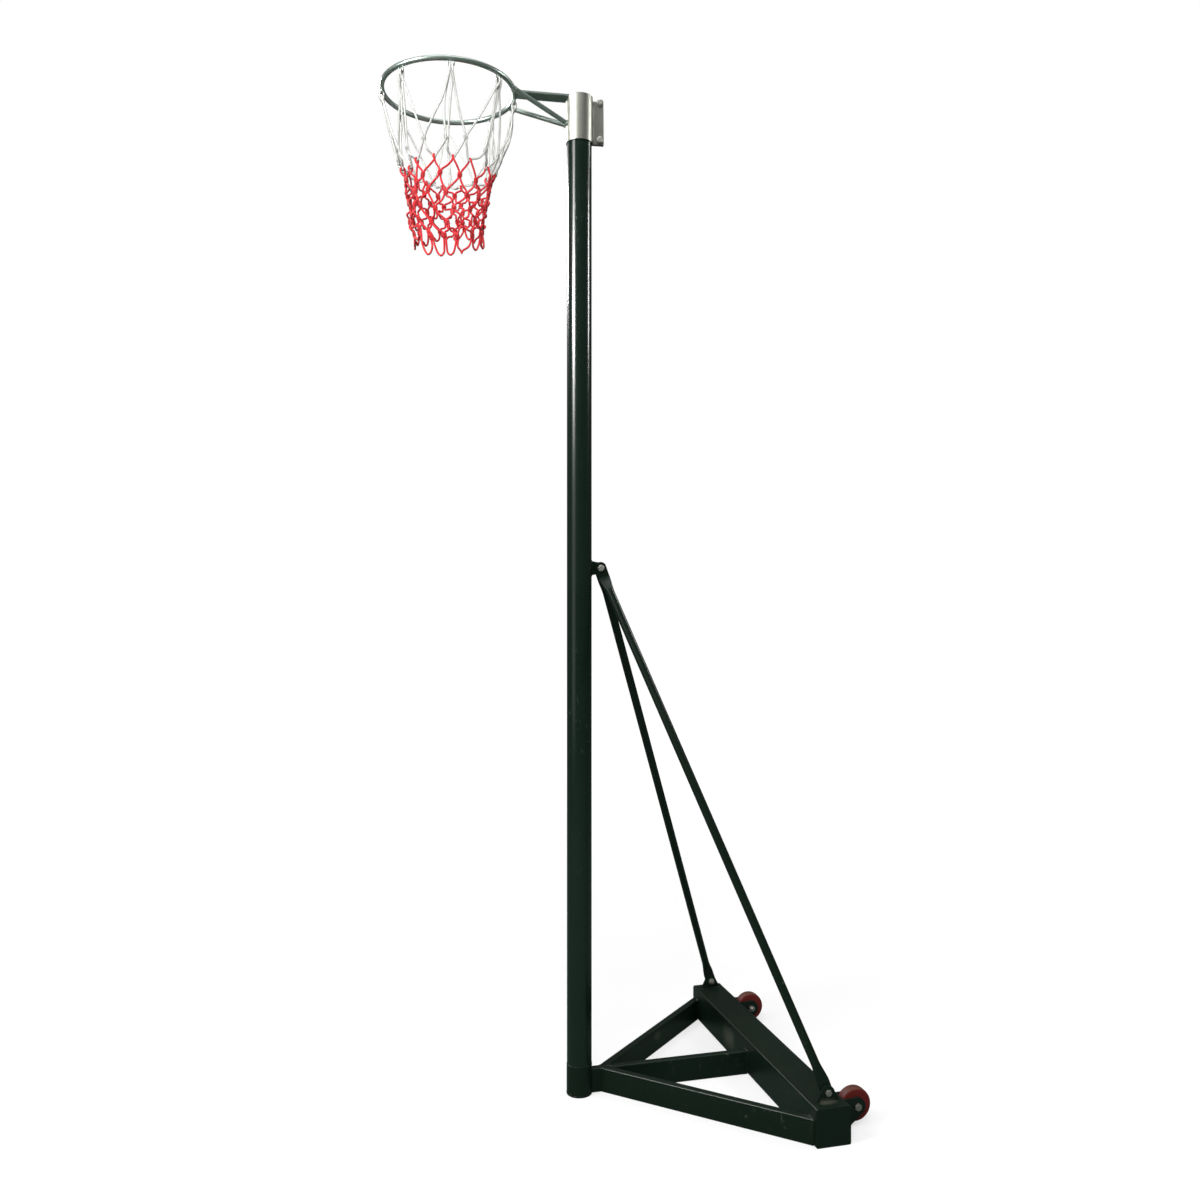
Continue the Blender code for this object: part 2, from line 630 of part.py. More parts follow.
def stay_mesh(name, side):
    """A tube lofted from a flat end, past a bend, to round and back to flat.

    The flats lie in planes of X and Z, so only the round part between the
    two bends leans outwards.
    """
    top = Vector((BRACKET_BOLT_X, side * TAB_TOP_Y, BRACKET_Z))
    foot = Vector((BAR_MIDDLE, side * TAB_FOOT_Y, LUG_BOLT_Z))
    run = Vector((foot.x - top.x, 0, foot.z - top.z)).normalized()
    wide = Y_AXIS.cross(run)
    first_bend = top + run * STAY_FLAT_RUN
    last_bend = foot - run * STAY_FLAT_RUN
    between = last_bend - first_bend
    lean = atan2(between.y, between.dot(run))
    overhang = STAY_END_ROUND + STAY_WALL
    flare_steps = (0.35, 0.7, 1.0)
    flare = [(first_bend + between.normalized() * STAY_FLARE * s, lean, s) for s in flare_steps]
    close = [(last_bend - between.normalized() * STAY_FLARE * s, lean, s) for s in reversed(flare_steps)]
    stations = [
        (top - run * overhang, 0, 0), (first_bend, lean / 2, 0), *flare,
        *close, (last_bend, lean / 2, 0), (foot + run * overhang, 0, 0),
    ]
    flat_height = TAB_THICKNESS / 2 / cos(pi / STAY_SIDES)
    form = bmesh.new()
    rings = []
    for centre, tilt, openness in stations:
        share = openness * openness * (3 - 2 * openness)
        thin = Y_AXIS * cos(tilt) - run * sin(tilt)
        width = STAY_FLAT / 2 + (STAY_RADIUS - STAY_FLAT / 2) * share
        height = flat_height + (STAY_RADIUS - flat_height) * share
        ring = []
        for inset in (0, STAY_WALL):
            for i in range(STAY_SIDES):
                angle = 2 * pi * (i + 0.5) / STAY_SIDES
                reach = width - height if cos(angle) > 0 else height - width
                across = reach + (height - inset) * cos(angle)
                up = (height - inset) * sin(angle)
                ring.append(form.verts.new(centre + wide * across + thin * up))
        rings.append(ring)
    for start, end in zip(rings, rings[1:]):
        for shell in (0, STAY_SIDES):
            for i in range(STAY_SIDES):
                a, b = shell + i, shell + (i + 1) % STAY_SIDES
                form.faces.new((start[a], start[b], end[b], end[a]))
    for ring in (rings[0], rings[-1]):
        for i in range(STAY_SIDES):
            j = (i + 1) % STAY_SIDES
            form.faces.new((ring[i], ring[j], ring[STAY_SIDES + j], ring[STAY_SIDES + i]))
    mesh = bpy.data.meshes.new(name)
    form.to_mesh(mesh)
    form.free()
    return settled(mesh), run, wide


def build_stays():
    top_bolt = Vector((BRACKET_BOLT_X, 0, BRACKET_Z))
    hole_radius = BOLT_RADIUS + BOLT_FIT
    across = placed(top_bolt, Y_AXIS, Z_AXIS)
    top_hole = cutter("top_hole", cylinder("top_hole", hole_radius, 10 * BRACKET_THICKNESS, BOLT_SIDES), across)
    turn = 1.3  # radians each side, a little past where the end round meets the flat's edges
    past = 2 * STAY_END_ROUND
    end_outline = arc((0, 0), STAY_END_ROUND, turn, -turn, 12)
    end_outline += [(end_outline[-1][0], -past), (past, -past), (past, past), (end_outline[0][0], past)]
    lug_face = LUG_Y + LUG_THICKNESS / 2 + GAP
    for side in (-1, 1):
        place = side_name(side)
        name = f"stay_{place}"
        mesh, run, wide = stay_mesh(name, side)
        stay = piece(name, mesh, FRAME_PAINT)
        foot_bolt = Vector((BAR_MIDDLE, side * TAB_FOOT_Y, LUG_BOLT_Z))
        foot_hole = cylinder(f"{name}_hole", hole_radius, 4 * TAB_THICKNESS, BOLT_SIDES)
        combine(stay, top_hole)
        combine(stay, cutter(f"{name}_hole", foot_hole, placed(foot_bolt, Y_AXIS, Z_AXIS)))
        ends = ((top_bolt + Y_AXIS * side * TAB_TOP_Y, -Y_AXIS, "top"), (foot_bolt, Y_AXIS, "foot"))
        for centre, facing, end in ends:
            trim = f"{name}_{end}_trim"
            waste = slab(trim, (end_outline,), 4 * TAB_THICKNESS)
            combine(stay, cutter(trim, waste, placed(centre, facing, wide)))

        inward = Vector((0, -side, 0))
        washer_seat = Vector((BAR_MIDDLE, side * (TAB_FOOT_Y - TAB_THICKNESS / 2 - GAP), LUG_BOLT_Z))
        nut_seat = washer_seat + inward * (WASHER_THICKNESS + GAP)
        head_seat = Vector((BAR_MIDDLE, side * lug_face, LUG_BOLT_Z))
        reach = (nut_seat - head_seat).length + NUT_HEIGHT + BOLT_TAIL
        bolt(f"stay_foot_bolt_{place}", head_seat, inward, reach)
        washer(f"stay_foot_washer_{place}", washer_seat, inward)
        nut(f"stay_foot_nut_{place}", nut_seat, inward)

        tab_face = TAB_TOP_Y + TAB_THICKNESS / 2 + GAP
        washer(f"stay_top_washer_{place}", top_bolt - inward * tab_face, -inward)

    seat = tab_face + WASHER_THICKNESS + GAP
    bolt("stay_top_bolt", top_bolt - Y_AXIS * seat, Y_AXIS, 2 * seat + NUT_HEIGHT + BOLT_TAIL)
    nut("stay_top_nut", top_bolt + Y_AXIS * seat, Y_AXIS)


# Clamp, ring and net, all turned with the head


def build_clamp(head):
    sleeve = tube("clamp_sleeve", SLEEVE_RADIUS, SLEEVE_BORE, SLEEVE_FOOT, SLEEVE_TOP, SATIN_ZINC, parent=head)
    half_slit = SLEEVE_SLIT / 2
    low = (0, -half_slit, SLEEVE_FOOT - SLEEVE_HEIGHT)
    high = (2 * SLEEVE_RADIUS, half_slit, SLEEVE_TOP + SLEEVE_HEIGHT)
    combine(sleeve, cutter("slit", box("slit", low, high), parent=head))

    bolt_x = EAR_END - EAR_BOLT_SIDE
    upper = SLEEVE_HEIGHT - EAR_BOLT_TOP
    bolts = (("upper", upper), ("lower", EAR_BOLT_FOOT))
    root = SLEEVE_RADIUS / 2
    lobe = arc((bolt_x, upper), EAR_BOLT_TOP, -0.35, pi - asin(EAR_NECK / EAR_BOLT_TOP), 11)
    outline = [
        (root, 0), *arc((EAR_END - EAR_CORNER, EAR_CORNER), EAR_CORNER, -pi / 2, 0, 3),
        (EAR_END, upper - EAR_BOLT_SIDE / 2), *lobe, (root, upper + EAR_NECK),
    ]
    holes = [circle((bolt_x, rise), BOLT_RADIUS + BOLT_FIT) for end, rise in bolts]
    for side in (-1, 1):
        name = f"clamp_ear_{side_name(side)}"
        y = side * (half_slit + EAR_THICKNESS / 2)
        plate = slab(name, (outline, *holes), EAR_THICKNESS)
        ear = piece(name, plate, SATIN_ZINC, upright(0, y, SLEEVE_FOOT), head)
        combine(ear, SLEEVE_SPACE)
    seat = half_slit + EAR_THICKNESS + GAP
    for end, rise in bolts:
        middle = Vector((bolt_x, 0, SLEEVE_FOOT + rise))
        reach = 2 * seat + NUT_HEIGHT + BOLT_TAIL
        bolt(f"clamp_bolt_{end}", middle - Y_AXIS * seat, Y_AXIS, reach, flange=FLANGE_RADIUS, parent=head)
        nut(f"clamp_nut_{end}", middle + Y_AXIS * seat, Y_AXIS, parent=head)


def build_bracket(head):
    """The flat arm on top of the ring, and the two braces under it."""
    half_width = ARM_WIDTH / 2
    outline = rectangle((RING_NEAREST - ARM_LAP, -half_width), (-SLEEVE_RADIUS / 2, half_width))
    arm = slab("ring_arm", (outline,), ARM_THICKNESS)
    arm = piece("ring_arm", arm, GALVANISED, raised(ARM_FOOT + ARM_THICKNESS / 2), head)
    combine(arm, SLEEVE_SPACE)

    ring_mesh = wires("ring_space", [ring_route(0, RING_STEPS)], RING_ROD + GAP, 4, closed=True)
    ring_space = cutter("ring_space", ring_mesh, parent=head)
    for side in (-1, 1):
        name = f"brace_{side_name(side)}"
        on_ring = sqrt(RING_RADIUS**2 - (BRACE_SPREAD / 2) ** 2)
        outer = Vector((RING_X + on_ring, side * BRACE_SPREAD / 2, RING_Z))
        inner = Vector((-SLEEVE_RADIUS, side * BRACE_MEET / 2, RING_Z - BRACE_DROP))
        inner += (inner - outer).normalized() * SLEEVE_WALL * 2
        rod = cylinder(name, BRACE_RADIUS, (inner - outer).length, BOLT_SIDES)
        brace = piece(name, rod, GALVANISED, placed((inner + outer) / 2, inner - outer, Z_AXIS), head)
        combine(brace, SLEEVE_SPACE)
        combine(brace, ring_space)


def on_net(angle, radius, z, aside=0):
    """A point round the ring's axis; aside is measured along the ring."""
    x = RING_X + radius * cos(angle) - aside * sin(angle)
    y = radius * sin(angle) + aside * cos(angle)
    return Vector((x, y, z))


def ring_route(start, steps):
    return [on_net(start + 2 * pi * i / steps, RING_RADIUS, RING_Z) for i in range(steps)]


def hook_route(angle):
    """A U of wire that hangs from the ring, in the plane that touches it."""
    half = HOOK_SPAN / 2
    flat = half - HOOK_BEND
    bend_z = HOOK_Z + HOOK_BEND
    turn = arc((flat, bend_z), HOOK_BEND, 0, -pi / 2, 2)
    turn += arc((-flat, bend_z), HOOK_BEND, -pi / 2, -pi, 2)
    points = [(half, RING_Z), *turn, (-half, RING_Z)]
    return [on_net(angle, RING_RADIUS, z, aside) for aside, z in points]


def build_ring(head):
    section = circle((RING_RADIUS, RING_Z), RING_ROD, 10)
    ring = turned("ring", section[::-1], GALVANISED, Matrix.Translation((RING_X, 0, 0)), head, steps=RING_STEPS)
    routes = [hook_route(2 * pi * i / HOOK_COUNT) for i in range(HOOK_COUNT)]
    combine(ring, cutter("hooks", wires("hooks", routes, HOOK_ROD), parent=head), "UNION")


def cord_loop(angle, radius, bar_z, bar_radius):
    """A ring of cord round a bar that runs along the ring's direction."""
    size = loop_radius(bar_radius)
    points = []
    for i in range(LOOP_SIDES):
        turn = 2 * pi * i / LOOP_SIDES
        points.append(on_net(angle, radius + size * sin(turn), bar_z + size * cos(turn)))
    return points


def loop_radius(bar_radius):
    return (bar_radius + LOOP_FIT + CORD_RADIUS) / cos(pi / LOOP_SIDES)


def net_piece(name, places, faces, loops, finish, head):
    """Cords along the edges of a cage, joined to the loops that it hangs by."""
    mesh = bpy.data.meshes.new(name)
    mesh.from_pydata(places, [], faces)
    net = piece(name, mesh, finish, parent=head)
    cords = net.modifiers.new("Cords", "WIREFRAME")
    cords.thickness = CORD_THICKNESS
    cords.use_boundary = True
    cords.use_replace = True
    cords.use_even_offset = True
    combine(net, cutter(f"{name}_loops", wires(f"{name}_loops", loops, CORD_RADIUS, 0, True), parent=head), "UNION")


def build_white_net(head):
    """From the hooks to a first row of knots, and on to the bars that the red cord hangs on.

    A knot straight under a hook hangs from it by two cords, and one between
    two hooks by a cord from each.
    """
    step = 2 * pi / NET_KNOTS
    hook_foot = HOOK_Z - loop_radius(HOOK_ROD) - WHITE_STEM
    places = []

    def add(place):
        places.append(place)
        return len(places) - 1

    hooks = [add(on_net(step * i, RING_RADIUS, hook_foot)) for i in range(0, NET_KNOTS, 2)]
    tops = []
    feet = []
    bars = []
    for i in range(NET_KNOTS):
        height = WHITE_KNOT / 2 if i % 2 else 0
        tops.append(add(on_net(step * i, WHITE_KNOTS_RADIUS, WHITE_KNOTS_Z + height)))
        feet.append(add(on_net(step * i, WHITE_KNOTS_RADIUS, WHITE_KNOTS_Z - height)) if height else tops[-1])
        ends = [on_net(step * (i + 0.5), WHITE_END_RADIUS, RED_START_Z, a) for a in (-WHITE_BAR, WHITE_BAR)]
        bars.append([add(end) for end in ends])

    pairs = []
    middle_radius = (RING_RADIUS + WHITE_KNOTS_RADIUS) / 2
    middle_z = (hook_foot + WHITE_KNOTS_Z) / 2
    for i in range(HOOK_COUNT):
        asides = (-WHITE_PAIR, WHITE_PAIR)
        pairs.append([add(on_net(2 * step * i, middle_radius, middle_z, aside)) for aside in asides])

    faces = []
    for i in range(HOOK_COUNT):
        knot = 2 * i
        after, before = (knot + 1) % NET_KNOTS, knot - 1
        faces.append((hooks[i], pairs[i][0], tops[knot], pairs[i][1]))
        faces.append((
            hooks[i], pairs[i][1], tops[knot], *bars[knot], feet[after], tops[after],
        ))
        faces.append((
            hooks[i], tops[before], feet[before], *bars[before], tops[knot], pairs[i][0],
        ))
    loops = [cord_loop(2 * step * i, RING_RADIUS, HOOK_Z, HOOK_ROD) for i in range(HOOK_COUNT)]
    net_piece("net_white", places, faces, loops, WHITE_CORD, head)


def build_red_net(head):
    """Rows of knots, each half a mesh on from the last, and a row of hanging loops."""
    step = 2 * pi / NET_KNOTS
    bar_radius = CORD_THICKNESS / 2
    places = []

    def add(angle, radius, z):
        places.append(on_net(angle, radius, z))
        return len(places) - 1

    start_z = RED_START_Z - loop_radius(bar_radius) - RED_STEM
    starts = [add(step * (i + 0.5), WHITE_END_RADIUS, start_z) for i in range(NET_KNOTS)]
    tops = []
    feet = []
    for row in range(1, RED_ROWS + 1):
        radius = WHITE_END_RADIUS + (NET_MOUTH_RADIUS - WHITE_END_RADIUS) * row / RED_ROWS
        middle = RED_START_Z - RED_MESH * row
        shift = 0 if row % 2 else 0.5
        tops.append([add(step * (i + shift), radius, middle + RED_KNOT / 2) for i in range(NET_KNOTS)])
        feet.append([add(step * (i + shift), radius, middle - RED_KNOT / 2) for i in range(NET_KNOTS)])

    faces = []
    for row in range(RED_ROWS - 1):
        above = feet[row - 1] if row else starts
        for i in range(NET_KNOTS):
            left, right = (i, (i + 1) % NET_KNOTS) if row % 2 == 0 else (i - 1, i)
            faces.append((
                above[i], tops[row][left], feet[row][left], tops[row + 1][i], feet[row][right], tops[row][right],
            ))

    shift = 0.5 if RED_ROWS % 2 else 0
    bottom = RED_START_Z - RED_MESH * RED_ROWS - NET_LOOP
    last_foot = bottom + NET_LOOP - RED_KNOT / 2
    half_span = NET_MOUTH_RADIUS * sin(step / 2)
    for i in range(NET_KNOTS):
        left, right = (i, (i + 1) % NET_KNOTS) if RED_ROWS % 2 else (i - 1, i)
        hanging = []
        for turn in (1, 2, 3, 4):
            sweep = pi * turn / 5
            place = on_net(
                step * (i + shift), NET_MOUTH_RADIUS, last_foot - (last_foot - bottom) * sin(sweep),
                -half_span * cos(sweep),
            )
            places.append(place)
            hanging.append(len(places) - 1)
        above = feet[RED_ROWS - 2][i]
        faces.append((
            above, tops[-1][left], feet[-1][left], *hanging, feet[-1][right], tops[-1][right],
        ))
    loops = [
        cord_loop(step * (i + 0.5), WHITE_END_RADIUS, RED_START_Z, bar_radius) for i in range(NET_KNOTS)
    ]
    net_piece("net_red", places, faces, loops, RED_CORD, head)


clear_scene()
PARTS = new_collection("netball_post")
CUTTERS = new_collection("cutters")
HEAD = empty("head", Matrix.Rotation(HEAD_TURN, 4, "Z"))
SLEEVE_SPACE = cutter(
    "sleeve_space", cylinder("sleeve_space", SLEEVE_RADIUS + GAP, 2 * SLEEVE_HEIGHT), raised(RING_Z), HEAD
)

build_post()
build_legs()
build_cross_bar()
for wheel_side in (-1, 1):
    build_wheel(wheel_side)
build_post_bracket()
build_stays()
build_clamp(HEAD)
build_bracket(HEAD)
build_ring(HEAD)
build_white_net(HEAD)
build_red_net(HEAD)
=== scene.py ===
# %% [markdown]
# # A portable netball post
#
# The object is a tall round post that stands at the tip of a flat steel triangle. A heavy cross
# bar closes the triangle, two stays brace the post from it, and two small wheels behind the bar
# take the weight when the post is tipped back. A clamp at the top carries the ring and its net.
#
# Every piece is modelled here at its real size, in metres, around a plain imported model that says
# where each piece sits and which pieces move together. The lesson goes in the order in which a
# workshop would make the post: its finishes first, then the base, the stays, the wheels and the
# post, and last the clamp, the ring and the net.

from math import atan2, ceil, cos, pi, radians, sin, sqrt

import bmesh
import bpy
import numpy as np
from mathutils import Matrix, Vector


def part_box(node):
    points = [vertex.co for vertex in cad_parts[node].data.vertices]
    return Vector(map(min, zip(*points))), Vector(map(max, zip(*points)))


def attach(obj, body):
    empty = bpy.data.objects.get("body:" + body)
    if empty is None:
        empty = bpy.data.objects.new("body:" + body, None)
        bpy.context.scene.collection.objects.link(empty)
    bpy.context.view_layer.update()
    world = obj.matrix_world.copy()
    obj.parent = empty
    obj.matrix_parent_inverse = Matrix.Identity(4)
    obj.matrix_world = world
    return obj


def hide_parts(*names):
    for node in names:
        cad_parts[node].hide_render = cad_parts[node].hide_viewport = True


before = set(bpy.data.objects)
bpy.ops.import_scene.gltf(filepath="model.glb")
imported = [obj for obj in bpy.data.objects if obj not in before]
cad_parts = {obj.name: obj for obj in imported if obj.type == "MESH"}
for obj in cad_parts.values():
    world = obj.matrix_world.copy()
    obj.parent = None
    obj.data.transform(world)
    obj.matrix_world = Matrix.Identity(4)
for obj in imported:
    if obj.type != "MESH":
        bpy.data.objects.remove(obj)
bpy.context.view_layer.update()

# %% [markdown]
# ## The camera and the room
#
# The photograph was taken from 3.2 metres away with the camera level, halfway up the post, so its
# uprights stay parallel. A small shift of the lens frames it without tilting the camera.


# %% Camera
def release():
    """Lets go of everything, because an operator acts on all that is selected."""
    bpy.ops.object.select_all(action="DESELECT")


release()
bpy.ops.object.camera_add(location=(-0.7718, -3.1119, 1.4912),
                          rotation=(pi / 2, 0, radians(-14.54)))
camera = bpy.context.object
camera.name = "camera"
camera.data.lens = 31.28
camera.data.sensor_width = 36
camera.data.shift_x = 0.0080
camera.data.shift_y = 0.0064
bpy.context.scene.camera = camera
bpy.context.scene.view_settings.view_transform = "Standard"
print(f"lens {camera.data.lens:.2f} mm")

# %% [markdown]
# The room is a pale floor under soft light, and the world lights the object a little from
# everywhere. The Light Path node shows a white backdrop to the camera, but in gloss it shows a
# room that is dark low down and bright overhead, which keeps the black paint black. Nine soft
# lamps stand round the object. Some only light it, and some only shine in its gloss: those draw
# the long bright lines on the post and the clamp.


# %% Node helpers
def add_node(tree, kind, inputs=(), **settings):
    """Adds a shader node; inputs pairs a socket's name or number with a value or a socket."""
    made = tree.nodes.new(f"ShaderNode{kind}")
    for key, value in settings.items():
        setattr(made, key, value)
    for key, value in dict(inputs).items():
        if isinstance(value, bpy.types.NodeSocket):
            tree.links.new(value, made.inputs[key])
        else:
            made.inputs[key].default_value = value
    return made


def maths(tree, operation, *values):
    return add_node(tree, "Math", enumerate(values), operation=operation).outputs[0]


def mix(tree, part, first, second):
    """A number that goes from first to second with the part."""
    return add_node(tree, "Mix", {0: part, 2: first, 3: second}).outputs[0]


def span(tree, value, low, high, start=0.0, end=1.0):
    """A number stretched so that low becomes start and high becomes end."""
    return add_node(tree, "MapRange", {"Value": value, "From Min": low, "From Max": high,
                                       "To Min": start, "To Max": end}).outputs["Result"]


def noise(tree, place, scale, detail=2.0, roughness=0.5):
    return add_node(tree, "TexNoise", {"Vector": place, "Scale": scale, "Detail": detail,
                                       "Roughness": roughness}).outputs["Fac"]


def blend(tree, mask, first, second):
    """A colour that goes from first to second with the mask."""
    first, second = ((*c, 1) if isinstance(c, tuple) else c for c in (first, second))
    return add_node(tree, "Mix", {0: mask, 6: first, 7: second}, data_type="RGBA").outputs[2]


print("node helpers ready")

# %% World
WORLD_LIGHT = 0.45
CEILING = 1.1
WALLS = 0.05
world = bpy.data.worlds.new("studio")
world.use_nodes = True
bpy.context.scene.world = world
tree = world.node_tree
ray = add_node(tree, "LightPath").outputs
shiny = maths(tree, "MAXIMUM", ray["Is Glossy Ray"], ray["Is Transmission Ray"])
way = add_node(tree, "TexCoord").outputs["Generated"]
height = add_node(tree, "SeparateXYZ", {0: way}).outputs["Z"]
seen = mix(tree, shiny, WORLD_LIGHT, span(tree, height, 0.79, 0.93, WALLS, CEILING))
background = tree.nodes["Background"]
background.inputs["Color"].default_value = (1, 1, 1, 1)
tree.links.new(mix(tree, ray["Is Camera Ray"], seen, 1.0), background.inputs["Strength"])
print("a white backdrop")


# %% Lamps
def lamp(name, place, aim, width, height, power, lights=True, shines=True):
    """A flat soft lamp that faces the post at a height, to light it, to shine in it, or both."""
    release()
    bpy.ops.object.light_add(type="AREA", location=place)
    made = bpy.context.object
    made.name = name
    towards = Vector((0, 0, aim)) - Vector(place)
    made.rotation_euler = towards.to_track_quat("-Z", "Y").to_euler()
    made.data.shape = "RECTANGLE"
    made.data.size = width
    made.data.size_y = height
    made.data.energy = power
    made.visible_diffuse = lights
    made.visible_glossy = shines
    made.visible_camera = False


lamp("front_lamp", (-1.8, -4.6, 4.6), 1.4, 2.6, 2.6, 175, shines=False)
lamp("high_lamp", (-0.8, -2.2, 6.8), 1.5, 4.5, 2.4, 90)
lamp("left_lamp", (-3.29, -1.36, 3.85), 2.2, 1.0, 2.4, 120)
lamp("right_lamp", (3.64, -0.60, 3.70), 2.2, 0.40, 1.0, 36, shines=False)
lamp("left_shine", (-3.29, -1.36, 3.45), 2.2, 1.6, 0.60, 150, lights=False)
lamp("right_shine", (3.64, -0.47, 3.66), 2.2, 0.45, 0.9, 48, lights=False)
lamp("strip_shine", (3.65, 0.38, 4.75), 2.9, 0.40, 0.4, 16, lights=False)
lamp("edge_shine", (-1.70, 3.06, 3.86), 2.7, 0.80, 0.50, 260, lights=False)
lamp("left_glow", (-3.30, -1.38, 1.75), 1.5, 2.0, 2.1, 9, lights=False)
print("nine lamps")

# %% Material helper
MATERIALS = {}


def new_material(slot, **constants):
    """A material with its unchanging values set on the shader; returns what its nodes need."""
    material = bpy.data.materials.new(slot)
    material.use_nodes = True
    tree = material.node_tree
    shader = tree.nodes["Principled BSDF"]
    for label, value in constants.items():
        shader.inputs[label.replace("_", " ")].default_value = value
    MATERIALS[slot] = material
    print(f"finish {len(MATERIALS)}: {slot}")
    return tree, shader, add_node(tree, "TexCoord").outputs["Object"]


def finish(tree, shader, **sockets):
    """Joins what varies over the surface to the shader."""
    for label, socket in sockets.items():
        tree.links.new(socket, shader.inputs[label.replace("_", " ")])


print("material helper ready")

# %% Floor: white to the camera, with the object's shadow, and dim in what gloss mirrors
release()
bpy.ops.mesh.primitive_plane_add(size=40, location=(0, 0, 0))
floor = bpy.context.object
floor.name = "floor"
bpy.ops.object.mode_set(mode="EDIT")
bpy.ops.mesh.subdivide(number_cuts=3)
bpy.ops.object.mode_set(mode="OBJECT")
tree, shader, place = new_material("pale_floor", Roughness=0.9, Specular_IOR_Level=0.0,
                                   Emission_Strength=1.0)
tint = blend(tree, noise(tree, place, 0.7), (0.36, 0.36, 0.36), (0.40, 0.40, 0.40))
ray = add_node(tree, "LightPath").outputs
bounced = maths(tree, "MAXIMUM", ray["Is Glossy Ray"], ray["Is Diffuse Ray"])
far = add_node(tree, "VectorMath", {0: place}, operation="LENGTH").outputs["Value"]
glow = maths(tree, "MULTIPLY", span(tree, far, 1.0, 6.0, 0.60, 0.86), ray["Is Camera Ray"])
finish(tree, shader, Base_Color=blend(tree, bounced, tint, (0.10, 0.14, 0.12)),
       Emission_Color=glow)
floor.data.materials.append(MATERIALS["pale_floor"])
print("a pale floor")

# %% [markdown]
# ## Effects that several finishes share
#
# Real finishes differ from a flat colour in a few ways that come back on every piece: sprayed
# paint dries into a faint orange peel, handling leaves pale scuffs, dust settles on what faces
# up, and zinc clouds as it weathers. Each is a node group with its own named inputs, built once,
# so that every finish can use it with its own values.


# %% Group helper
def new_group(name, inputs, outputs):
    """A node group for a Vector and some numbers; returns it, its inputs and its outputs."""
    group = bpy.data.node_groups.new(name, "ShaderNodeTree")
    sockets = group.interface
    sockets.new_socket(name="Vector", in_out="INPUT", socket_type="NodeSocketVector")
    for label, value in inputs.items():
        made = sockets.new_socket(name=label, in_out="INPUT", socket_type="NodeSocketFloat")
        made.default_value = value
    for label in outputs:
        sockets.new_socket(name=label, in_out="OUTPUT", socket_type="NodeSocketFloat")
    given, result = (group.nodes.new(f"NodeGroup{end}") for end in ("Input", "Output"))
    return group, given.outputs, result.inputs


def give(group, result, **sockets):
    """Joins what a group works out to its outputs."""
    for label, socket in sockets.items():
        group.links.new(socket, result[label])
    print(f"{group.name}: {len(group.nodes)} nodes")


def effect(tree, group, place, **values):
    """Puts a group to work in a material, and gives back its outputs."""
    return add_node(tree, "Group", {"Vector": place, **values}, node_tree=group).outputs


print("group helpers ready")

# %% Orange peel
ORANGE_PEEL, given, result = new_group("orange_peel", {"Scale": 260.0}, ["Height"])
fine = noise(ORANGE_PEEL, given["Vector"], given["Scale"], 2.0, 0.45)
wide = noise(ORANGE_PEEL, given["Vector"], 24.0, 1.0)
give(ORANGE_PEEL, result, Height=mix(ORANGE_PEEL, 0.35, fine, wide))

# %% Scuffs: thin scratches, and small patches where the gloss is rubbed off
SCUFFS, given, result = new_group("scuffs", {"Amount": 1.0, "Stretch": 0.12}, ["Mask"])
stretch = add_node(SCUFFS, "CombineXYZ", {0: 1.0, 1: 1.0, 2: given["Stretch"]}).outputs[0]
pulled = add_node(SCUFFS, "VectorMath", {0: given["Vector"], 1: stretch}, operation="MULTIPLY")
lines = span(SCUFFS, noise(SCUFFS, pulled.outputs[0], 210.0, 3.0), 0.66, 0.72)
patches = span(SCUFFS, noise(SCUFFS, given["Vector"], 46.0, 5.0), 0.67, 0.73)
where = span(SCUFFS, noise(SCUFFS, given["Vector"], 3.1, 1.0), 0.52, 0.68)
pale_mask = maths(SCUFFS, "MULTIPLY", maths(SCUFFS, "MAXIMUM", lines, patches), where)
give(SCUFFS, result, Mask=maths(SCUFFS, "MULTIPLY", pale_mask, given["Amount"]))

# %% Dust: it lies on faces that look up, more in some places than in others
DUST, given, result = new_group("dust", {"Amount": 0.5}, ["Mask"])
facing = add_node(DUST, "NewGeometry").outputs["Normal"]
upward = span(DUST, add_node(DUST, "SeparateXYZ", {0: facing}).outputs["Z"], 0.35, 1.0)
drift = span(DUST, noise(DUST, given["Vector"], 17.0, 6.0, 0.65), 0.25, 0.75)
laid = maths(DUST, "MULTIPLY", maths(DUST, "MULTIPLY", upward, drift), given["Amount"])
give(DUST, result, Mask=laid)

# %% Zinc cloud: the soft patches and fine grain of a zinc coat
ZINC_CLOUD, given, result = new_group("zinc_cloud", {"Scale": 30.0, "Grain": 0.3},
                                      ["Shade", "Height"])
clouds = noise(ZINC_CLOUD, given["Vector"], given["Scale"], 5.0, 0.6)
grain = noise(ZINC_CLOUD, given["Vector"], 900.0, 2.0)
shades = mix(ZINC_CLOUD, given["Grain"], clouds, grain)
give(ZINC_CLOUD, result, Shade=shades, Height=grain)

# %% Braid: crossing strands round a cord, from a map of metres along it and turns round it
BRAID, given, result = new_group("braid", {"Pitch": 0.007, "Strands": 4.0}, ["Height", "Fuzz"])
map_way = add_node(BRAID, "SeparateXYZ", {0: given["Vector"]}).outputs
steps = maths(BRAID, "DIVIDE", map_way["X"], given["Pitch"])
around = maths(BRAID, "MULTIPLY", map_way["Y"], given["Strands"])
waves = []
for operation in ("ADD", "SUBTRACT"):
    turns = maths(BRAID, "MULTIPLY", maths(BRAID, operation, steps, around), 2 * pi)
    waves.append(maths(BRAID, "SINE", turns))
crest = maths(BRAID, "MAXIMUM", *waves)
give(BRAID, result, Height=span(BRAID, crest, -0.2, 1.0),
     Fuzz=noise(BRAID, given["Vector"], 90.0, 4.0))

